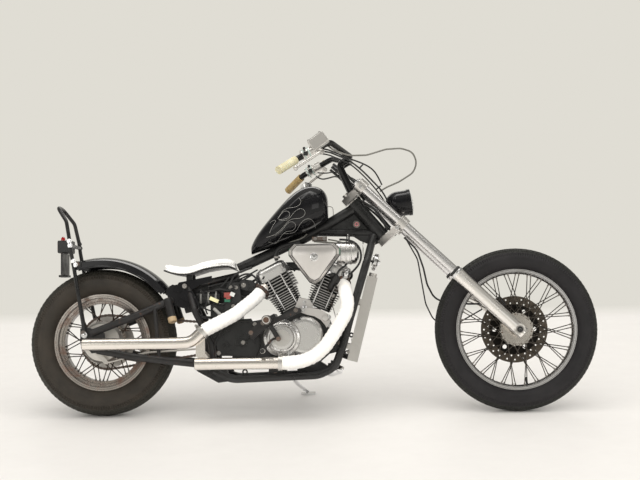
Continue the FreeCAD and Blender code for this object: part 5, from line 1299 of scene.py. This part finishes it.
def foot_details():
    """Rings, dark brown discs of painted shade in the pegs' hollow ends, bolt ends of the pegs and pedals,
    and the side plate's screws.
    """
    rim = [(11.5, 120.1), (16.2, 120.1), (18.9, 117), (18.9, 113), (17, 112)]
    rings, hollow_shades = [], []
    screws = bolt_pair(754, FOOT_LINE + 16, 318, 7, 6)
    for hand in HANDS:
        peg = (711, hand * FOOT_LINE, 396)
        rings.append(turned(rim, peg, Y * hand))
        # A flat dark disc at each peg's end: painted shade for its hollow.
        hollow_shades.append(solid_turned([(11.6, 120.1), (11.6, 120.6)], peg, Y * hand))
        for index in range(7):
            y = hand * (FOOT_LINE + 12 + 7 * index)
            rings.append(turned([(9.1, -1.6), (10.2, 0), (9.1, 1.6)], (690, y, 270), Y, 18))
    for x, z in ((640, 345), (826, 435), (690, 384)):
        screws += bolt_pair(x, FOOT_LINE + 6, z, 6.5, 5)
    piece("peg_rings", rings, "satin")
    piece("peg_hollow_shade", hollow_shades, "hollow")
    piece("foot_screws", screws, "old_steel")
    trim = [bolt((602, -117.5, 303), -Y, 7, 6)]
    trim += [bolt((x, -117.5, z), -Y, 6, 5) for x, z in ((652, 380), (500, 262))]
    piece("side_plate_screws", trim, "steel")


def tank_details():
    """The filler cap's ring and knob, and the wire at the tank's front."""
    axis, top = (-8, 0, 28), (866, 0, 976)
    ring = turned([(24.2, -14), (27, -13), (27, -9), (24.2, -8)], top, axis, 40)
    knob = solid_turned([(20, 0), (18, 2), (10, 3), (10, 6), (7, 8)], top, axis, 32)
    piece("cap_trim", [ring, knob], "chrome")
    loop = wire([(962, -40, 874), (980, -42, 874), (984, -42, 860), (984, -40, 836)], 1.4, 6)
    piece("front_wire", loop, "steel")


# Chain

CHAIN_Y = 92
CHAIN_PITCH = 15.875
# Each sprocket's centre, the chain's radius round it, and the steps of its arc
SPROCKETS = ((REAR_AXLE, 116.2, 200), (by_crank(-243, 0, 0), 44.0, 60))
LINK_OUTLINE = [(-9.4, -3), (-6, -6), (-2, -4.2), (2, -4.2), (6, -6), (9.4, -3), (9.4, 3), (6, 6), (2, 4.2),
                (-2, 4.2), (-6, 6), (-9.4, 3)]


def chain_path():
    """The chain's loop round the rear and the front sprocket, in short steps."""
    (rear, large, rear_steps), (front, small, front_steps) = SPROCKETS
    run = front - rear
    lean = math.atan2(run.z, run.x)
    open_angle = math.acos((large - small) / run.length)
    arcs = ((rear, large, rear_steps, lean + open_angle, 2 * math.pi - 2 * open_angle),
            (front, small, front_steps, lean - open_angle, 2 * open_angle))
    path = [centre + heading(start + sweep * index / (steps - 1)) * radius
            for centre, radius, steps, start, sweep in arcs for index in range(steps)]
    return path + path[:1]


def chain_links():
    """Side plates and rollers round the drive chain's loop, inner and outer plates by turns."""
    roller = [(2.4, CHAIN_Y - 7.2), (2.4, CHAIN_Y + 7.2)]
    links, walked, goal, count = [], 0.0, 0.0, 0
    path = chain_path()
    for a, b in zip(path, path[1:]):
        length = (b - a).length
        ahead = (b - a).normalized()
        up = ahead.cross(Y)
        while goal <= walked + length:
            centre = a.lerp(b, (goal - walked) / length)
            outline = [centre + ahead * u + up * v for u, v in LINK_OUTLINE]
            for hand in HANDS:
                y = CHAIN_Y + hand * (5.4 if count % 2 else 4.2)
                links.append(skin([[point + Y * (y + depth) for point in outline] for depth in (-0.9, 0.9)]))
            links.append(solid_turned(roller, centre + ahead * 7.9, Y, 8))
            goal += CHAIN_PITCH
            count += 1
        walked += length
    piece("chain_plates", links, "chain")


# Seat

SEAT_TOP = [(270, 643), (300, 632), (340, 625), (380, 627), (440, 645), (500, 655), (540, 656), (566, 646)]
SEAT_TAIL, SEAT_LENGTH = 270, 296
SEAT_HALF_WIDTH, SEAT_THICKNESS = 110.0, 28.5
SEAT_MARGIN = 2.5


def seat_height(x):
    """Height of the seat's top line at a place along it, by smooth interpolation."""
    index = sum(start < x for start, _ in SEAT_TOP) - 1
    (x0, z0), (x1, z1) = SEAT_TOP[index], SEAT_TOP[index + 1]
    before, after = SEAT_TOP[max(index - 1, 0)], SEAT_TOP[min(index + 2, len(SEAT_TOP) - 1)]
    share = (x - x0) / (x1 - x0)
    slope0 = (z1 - before[1]) / (x1 - before[0]) * (x1 - x0)
    slope1 = (after[1] - z0) / (after[0] - x0) * (x1 - x0)
    s2, s3 = share ** 2, share ** 3
    return ((2 * s3 - 3 * s2 + 1) * z0 + (s3 - 2 * s2 + share) * slope0
            + (-2 * s3 + 3 * s2) * z1 + (s3 - s2) * slope1)


def seat_edge(x):
    """Half the seat's width at a place along it: rounded at the tail, narrow at the nose."""
    share = (x - SEAT_TAIL) / SEAT_LENGTH
    nose = 1 - 0.34 * max(0.0, share - 0.45) ** 1.5 / 0.41
    ends = max(0.0, 1 - abs(2 * share - 1) ** 9) ** 0.30
    return SEAT_HALF_WIDTH * nose * (0.52 + 0.48 * ends)


def seat_form():
    """The pad before it is filled: flat below, crowned above, with rounded sides."""
    rows, columns = 60, 36
    half = SEAT_THICKNESS / 2 - SEAT_MARGIN
    rings = []
    for row in range(rows + 1):
        x = SEAT_TAIL + 0.5 + (SEAT_LENGTH - 1) * (0.5 - 0.5 * math.cos(math.pi * row / rows))
        width = seat_edge(x) - 1.5
        middle = seat_height(x) - SEAT_THICKNESS / 2 - SEAT_MARGIN
        ring = []
        for column in range(columns):
            angle = 2 * math.pi * column / columns
            across, up = math.cos(angle), math.sin(angle)
            y = math.copysign(abs(across) ** 0.40, across) * width
            rise = math.copysign(abs(up) ** 0.62, up)
            crown = 3.0 * (1 - (y / width) ** 2) if up > 0 else 0.0
            ring.append((x, y, middle + rise * half + crown))
        rings.append(ring)
    return skin(rings)


def evaluated(item):
    """The mesh that an object's modifiers make of it."""
    shown = item.evaluated_get(bpy.context.evaluated_depsgraph_get())
    return bpy.data.meshes.new_from_object(shown)


def puff(item):
    """Fill a closed form as cloth under pressure, with a cap on how far a point may move."""
    voxel, rise, sink, frames = 0.005, 0.005, 0.0008, 20
    remesh = item.modifiers.new("Even", "REMESH")
    remesh.mode = "VOXEL"
    remesh.voxel_size = voxel
    remesh.use_smooth_shade = True
    item.data = evaluated(item)
    item.modifiers.clear()
    cloth = item.modifiers.new("Fill", "CLOTH")
    cloth.settings.use_pressure = True
    cloth.settings.uniform_pressure_force = 4.0
    cloth.settings.effector_weights.gravity = 0.0
    cloth.point_cache.frame_start, cloth.point_cache.frame_end = 1, frames
    for step in range(1, frames + 1):
        bpy.context.scene.frame_set(step)
    filled = evaluated(item)
    item.modifiers.clear()
    bpy.context.scene.frame_set(1)
    for vertex, end in zip(item.data.vertices, filled.vertices):
        move = end.co - vertex.co
        cap = sink if move.z < 0 else rise
        if move.length > cap:
            move = move.normalized() * cap
        vertex.co += move
    bpy.data.meshes.remove(filled)
    smooth = item.modifiers.new("Smooth", "SUBSURF")
    smooth.levels = smooth.render_levels = 1


def seat_cushion():
    """The thin white pad with a laced welt round its lower edge, the welt a little greyer as painted shade.
    """
    cushion = piece("seat_cushion", seat_form(), "vinyl", stands_for="seat", sharp=75)
    puff(cushion)
    places = [272 + 291 * index / 60 for index in range(61)]
    left, right = ([Vector((x, hand * (seat_edge(x) - 5), seat_height(x) - SEAT_THICKNESS + SEAT_MARGIN))
                    for x in places] for hand in (1, -1))

    def laced(travelled, angle):
        return 3.4 + 0.9 * math.sin(2 * math.pi * travelled / 7.0 + angle)

    path = wire_path(left + right[::-1] + left[:1], 10)
    # A welt a little greyer than the vinyl: painted shade between its lacing.
    piece("seat_welt", swept(path, laced, 12), "welt", sharp=80)


# Stage, light and camera

WALL = (0.745, 0.723, 0.658)
FLOOR = (0.755, 0.735, 0.712)
FLOOR_REACH = 14.0


def stage():
    """A wide pale floor that fades into the colour of the hall's walls."""
    mesh = bpy.data.meshes.new("floor")
    corners = [(x * FLOOR_REACH, y * FLOOR_REACH, 0) for x, y in ((-1, -1), (1, -1), (1, 1), (-1, 1))]
    mesh.from_pydata(corners, [], [(0, 1, 2, 3)])
    floor = bpy.data.objects.new("floor", mesh)
    bpy.context.scene.collection.objects.link(floor)
    f = Finish("floor_finish", FLOOR)
    scuffs = f.noise(2.2, 8, 0.7)
    f.vary("Base Color", scuffs, (0.40, FLOOR), (0.72, scaled(FLOOR, 0.95)))
    f.vary("Roughness", scuffs, (0.3, 0.35), (0.7, 0.6))
    mesh.materials.append(f.material)
    fade_floor(f)


def fade_floor(f):
    """Beyond the hall's edge a camera sees the wall's plain colour instead of the floor."""
    longer_by, fade_from, fade_to = 1.6, 2.15, 2.6
    place = f.node("SeparateXYZ", {0: f.place}).outputs
    along = f.math("SUBTRACT", f.math("ABSOLUTE", place["X"]), longer_by)
    edge = f.math("MAXIMUM", along, f.math("ABSOLUTE", place["Y"]))
    beyond = f.node("MapRange", {"Value": edge, "From Min": fade_from, "From Max": fade_to}).outputs[0]
    wall = f.node("Emission", {"Color": (*WALL, 1), "Strength": 1.0}).outputs[0]
    mixed = f.node("MixShader", {0: beyond, 1: f.shader.outputs[0], 2: wall}).outputs[0]
    f.tree.links.new(mixed, f.tree.nodes["Material Output"].inputs["Surface"])


# Brightness of the hall by height: as it lights dull surfaces, and as shiny ones reflect it
SOFT_LEVELS = [(0.0, 0.55), (0.05, 0.42), (0.22, 0.66), (0.42, 0.86), (0.60, 0.95), (1.0, 0.75)]
SOFT_TINT = (1, 0.985, 0.95)
SHINE_LEVELS = [(0.0, 1.0), (0.10, 0.95), (0.24, 0.62), (0.40, 0.30), (0.62, 0.36), (1.0, 0.85)]
# Two directions along Y, from the hall's middle towards the camera's side, and the strength at each
SOFT_STRENGTH = (0.1, -0.8, 0.78, 2.75)
SHINE_STRENGTH = (-0.15, -0.75, 1.0, 0.88)


def hall():
    """Soft light from all round. The camera and glass see the plain wall colour, and shiny things see
    the same hall with its darker upper walls and its dimmer side behind the camera."""
    world = bpy.data.worlds.new("hall")
    bpy.context.scene.world = world
    world.use_nodes = True
    tree = world.node_tree
    tree.nodes.clear()

    def node(kind, *values, **settings):
        made = tree.nodes.new("ShaderNode" + kind)
        for name, value in settings.items():
            setattr(made, name, value)
        for socket, value in zip(made.inputs, values):
            if isinstance(value, bpy.types.NodeSocket):
                tree.links.new(value, socket)
            else:
                socket.default_value = value
        return made.outputs

    def levels(factor, stops, tint):
        outputs = node("ValToRGB", factor)
        line = outputs[0].node.color_ramp.elements
        while len(line) < len(stops):
            line.new(0.5)
        for element, (position, level) in zip(line, stops):
            element.position = position
            element.color = (*scaled(tint, level), 1)
        return outputs[0]

    def background(direction, stops, tint, strength):
        by_side = node("MapRange", direction["Y"], *strength)[0]
        return node("Background", levels(direction["Z"], stops, tint), by_side)[0]

    direction = node("SeparateXYZ", node("TexCoord")["Generated"])
    around = background(direction, SOFT_LEVELS, SOFT_TINT, SOFT_STRENGTH)
    glossy = background(direction, SHINE_LEVELS, WALL, SHINE_STRENGTH)
    seen = node("Background", (*WALL, 1), 1.0)[0]
    rays = node("LightPath")
    plain = node("Math", rays["Is Camera Ray"], rays["Is Transmission Ray"], operation="MAXIMUM")[0]
    lit = node("MixShader", rays["Is Glossy Ray"], around, glossy)[0]
    node("OutputWorld", node("MixShader", plain, lit, seen)[0])


def lamp(name, place, target, size, power):
    """A rectangular lamp that faces a target."""
    data = bpy.data.lights.new(name, "AREA")
    data.shape = "RECTANGLE"
    data.size, data.size_y = size
    data.energy = power
    data.color = (1, 0.98, 0.95)
    item = bpy.data.objects.new(name, data)
    item.location = place
    item.rotation_mode = "QUATERNION"
    item.rotation_quaternion = (Vector(target) - Vector(place)).to_track_quat("-Z", "Y")
    bpy.context.scene.collection.objects.link(item)


def lights():
    """Four strips on the ceiling, two wide lamps in front and one behind."""
    for x in (-1.5, -0.5, 0.5, 1.5):
        lamp("ceiling", (x, -0.5, 4.0), (x * 0.6, 0, 0.3), (0.5, 3.0), 13)
    lamp("front_left", (-2.8, -4.4, 2.0), (0, 0, 0.5), (2.4, 1.4), 12)
    lamp("front_right", (3.0, -4.2, 1.8), (0.2, 0, 0.5), (2.4, 1.4), 12)
    lamp("behind", (0, 4.0, 3.0), (0, 0, 0.6), (5.0, 1.0), 34)


CAMERA_PLACE = SHIFT + Vector((1.0596, -5.2401, 1.29028))
CAMERA_YAW, CAMERA_PITCH, CAMERA_ROLL = -0.02507, -0.10503, -0.0182
CAMERA_FOCAL_PIXELS = 1264.23
IMAGE_WIDTH = 640
SENSOR_WIDTH = 36


def camera():
    """The photograph's viewpoint: yaw about Z, then pitch, then roll about the line of sight."""
    level = math.cos(CAMERA_PITCH)
    ahead = Vector((math.sin(CAMERA_YAW) * level, math.cos(CAMERA_YAW) * level, math.sin(CAMERA_PITCH)))
    right = Vector((math.cos(CAMERA_YAW), -math.sin(CAMERA_YAW), 0))
    up = right.cross(ahead)
    cos, sin = math.cos(CAMERA_ROLL), math.sin(CAMERA_ROLL)
    axes = Matrix((right * cos + up * sin, up * cos - right * sin, -ahead)).transposed()
    data = bpy.data.cameras.new("camera")
    data.sensor_width = SENSOR_WIDTH
    data.lens = CAMERA_FOCAL_PIXELS * SENSOR_WIDTH / IMAGE_WIDTH
    item = bpy.data.objects.new("camera", data)
    item.matrix_world = Matrix.Translation(CAMERA_PLACE) @ axes.to_4x4()
    bpy.context.scene.collection.objects.link(item)
    bpy.context.scene.camera = item


PARTS = (dress_cad, tyres, wheel_details, exhaust_wraps, clamps, fin_edges, head_details, cover_screws,
         frame_fittings, pinstripes, fork_details, bar_fittings, bar_cables, electrics, plumbing,
         air_cleaner_details, engine_trim, radiator_details, frame_details, fender_edges, tail_details,
         foot_details, tank_details, chain_links, seat_cushion, stage, hall, lights, camera)
for build in PARTS:
    build()
bpy.context.scene.view_settings.view_transform = "Standard"
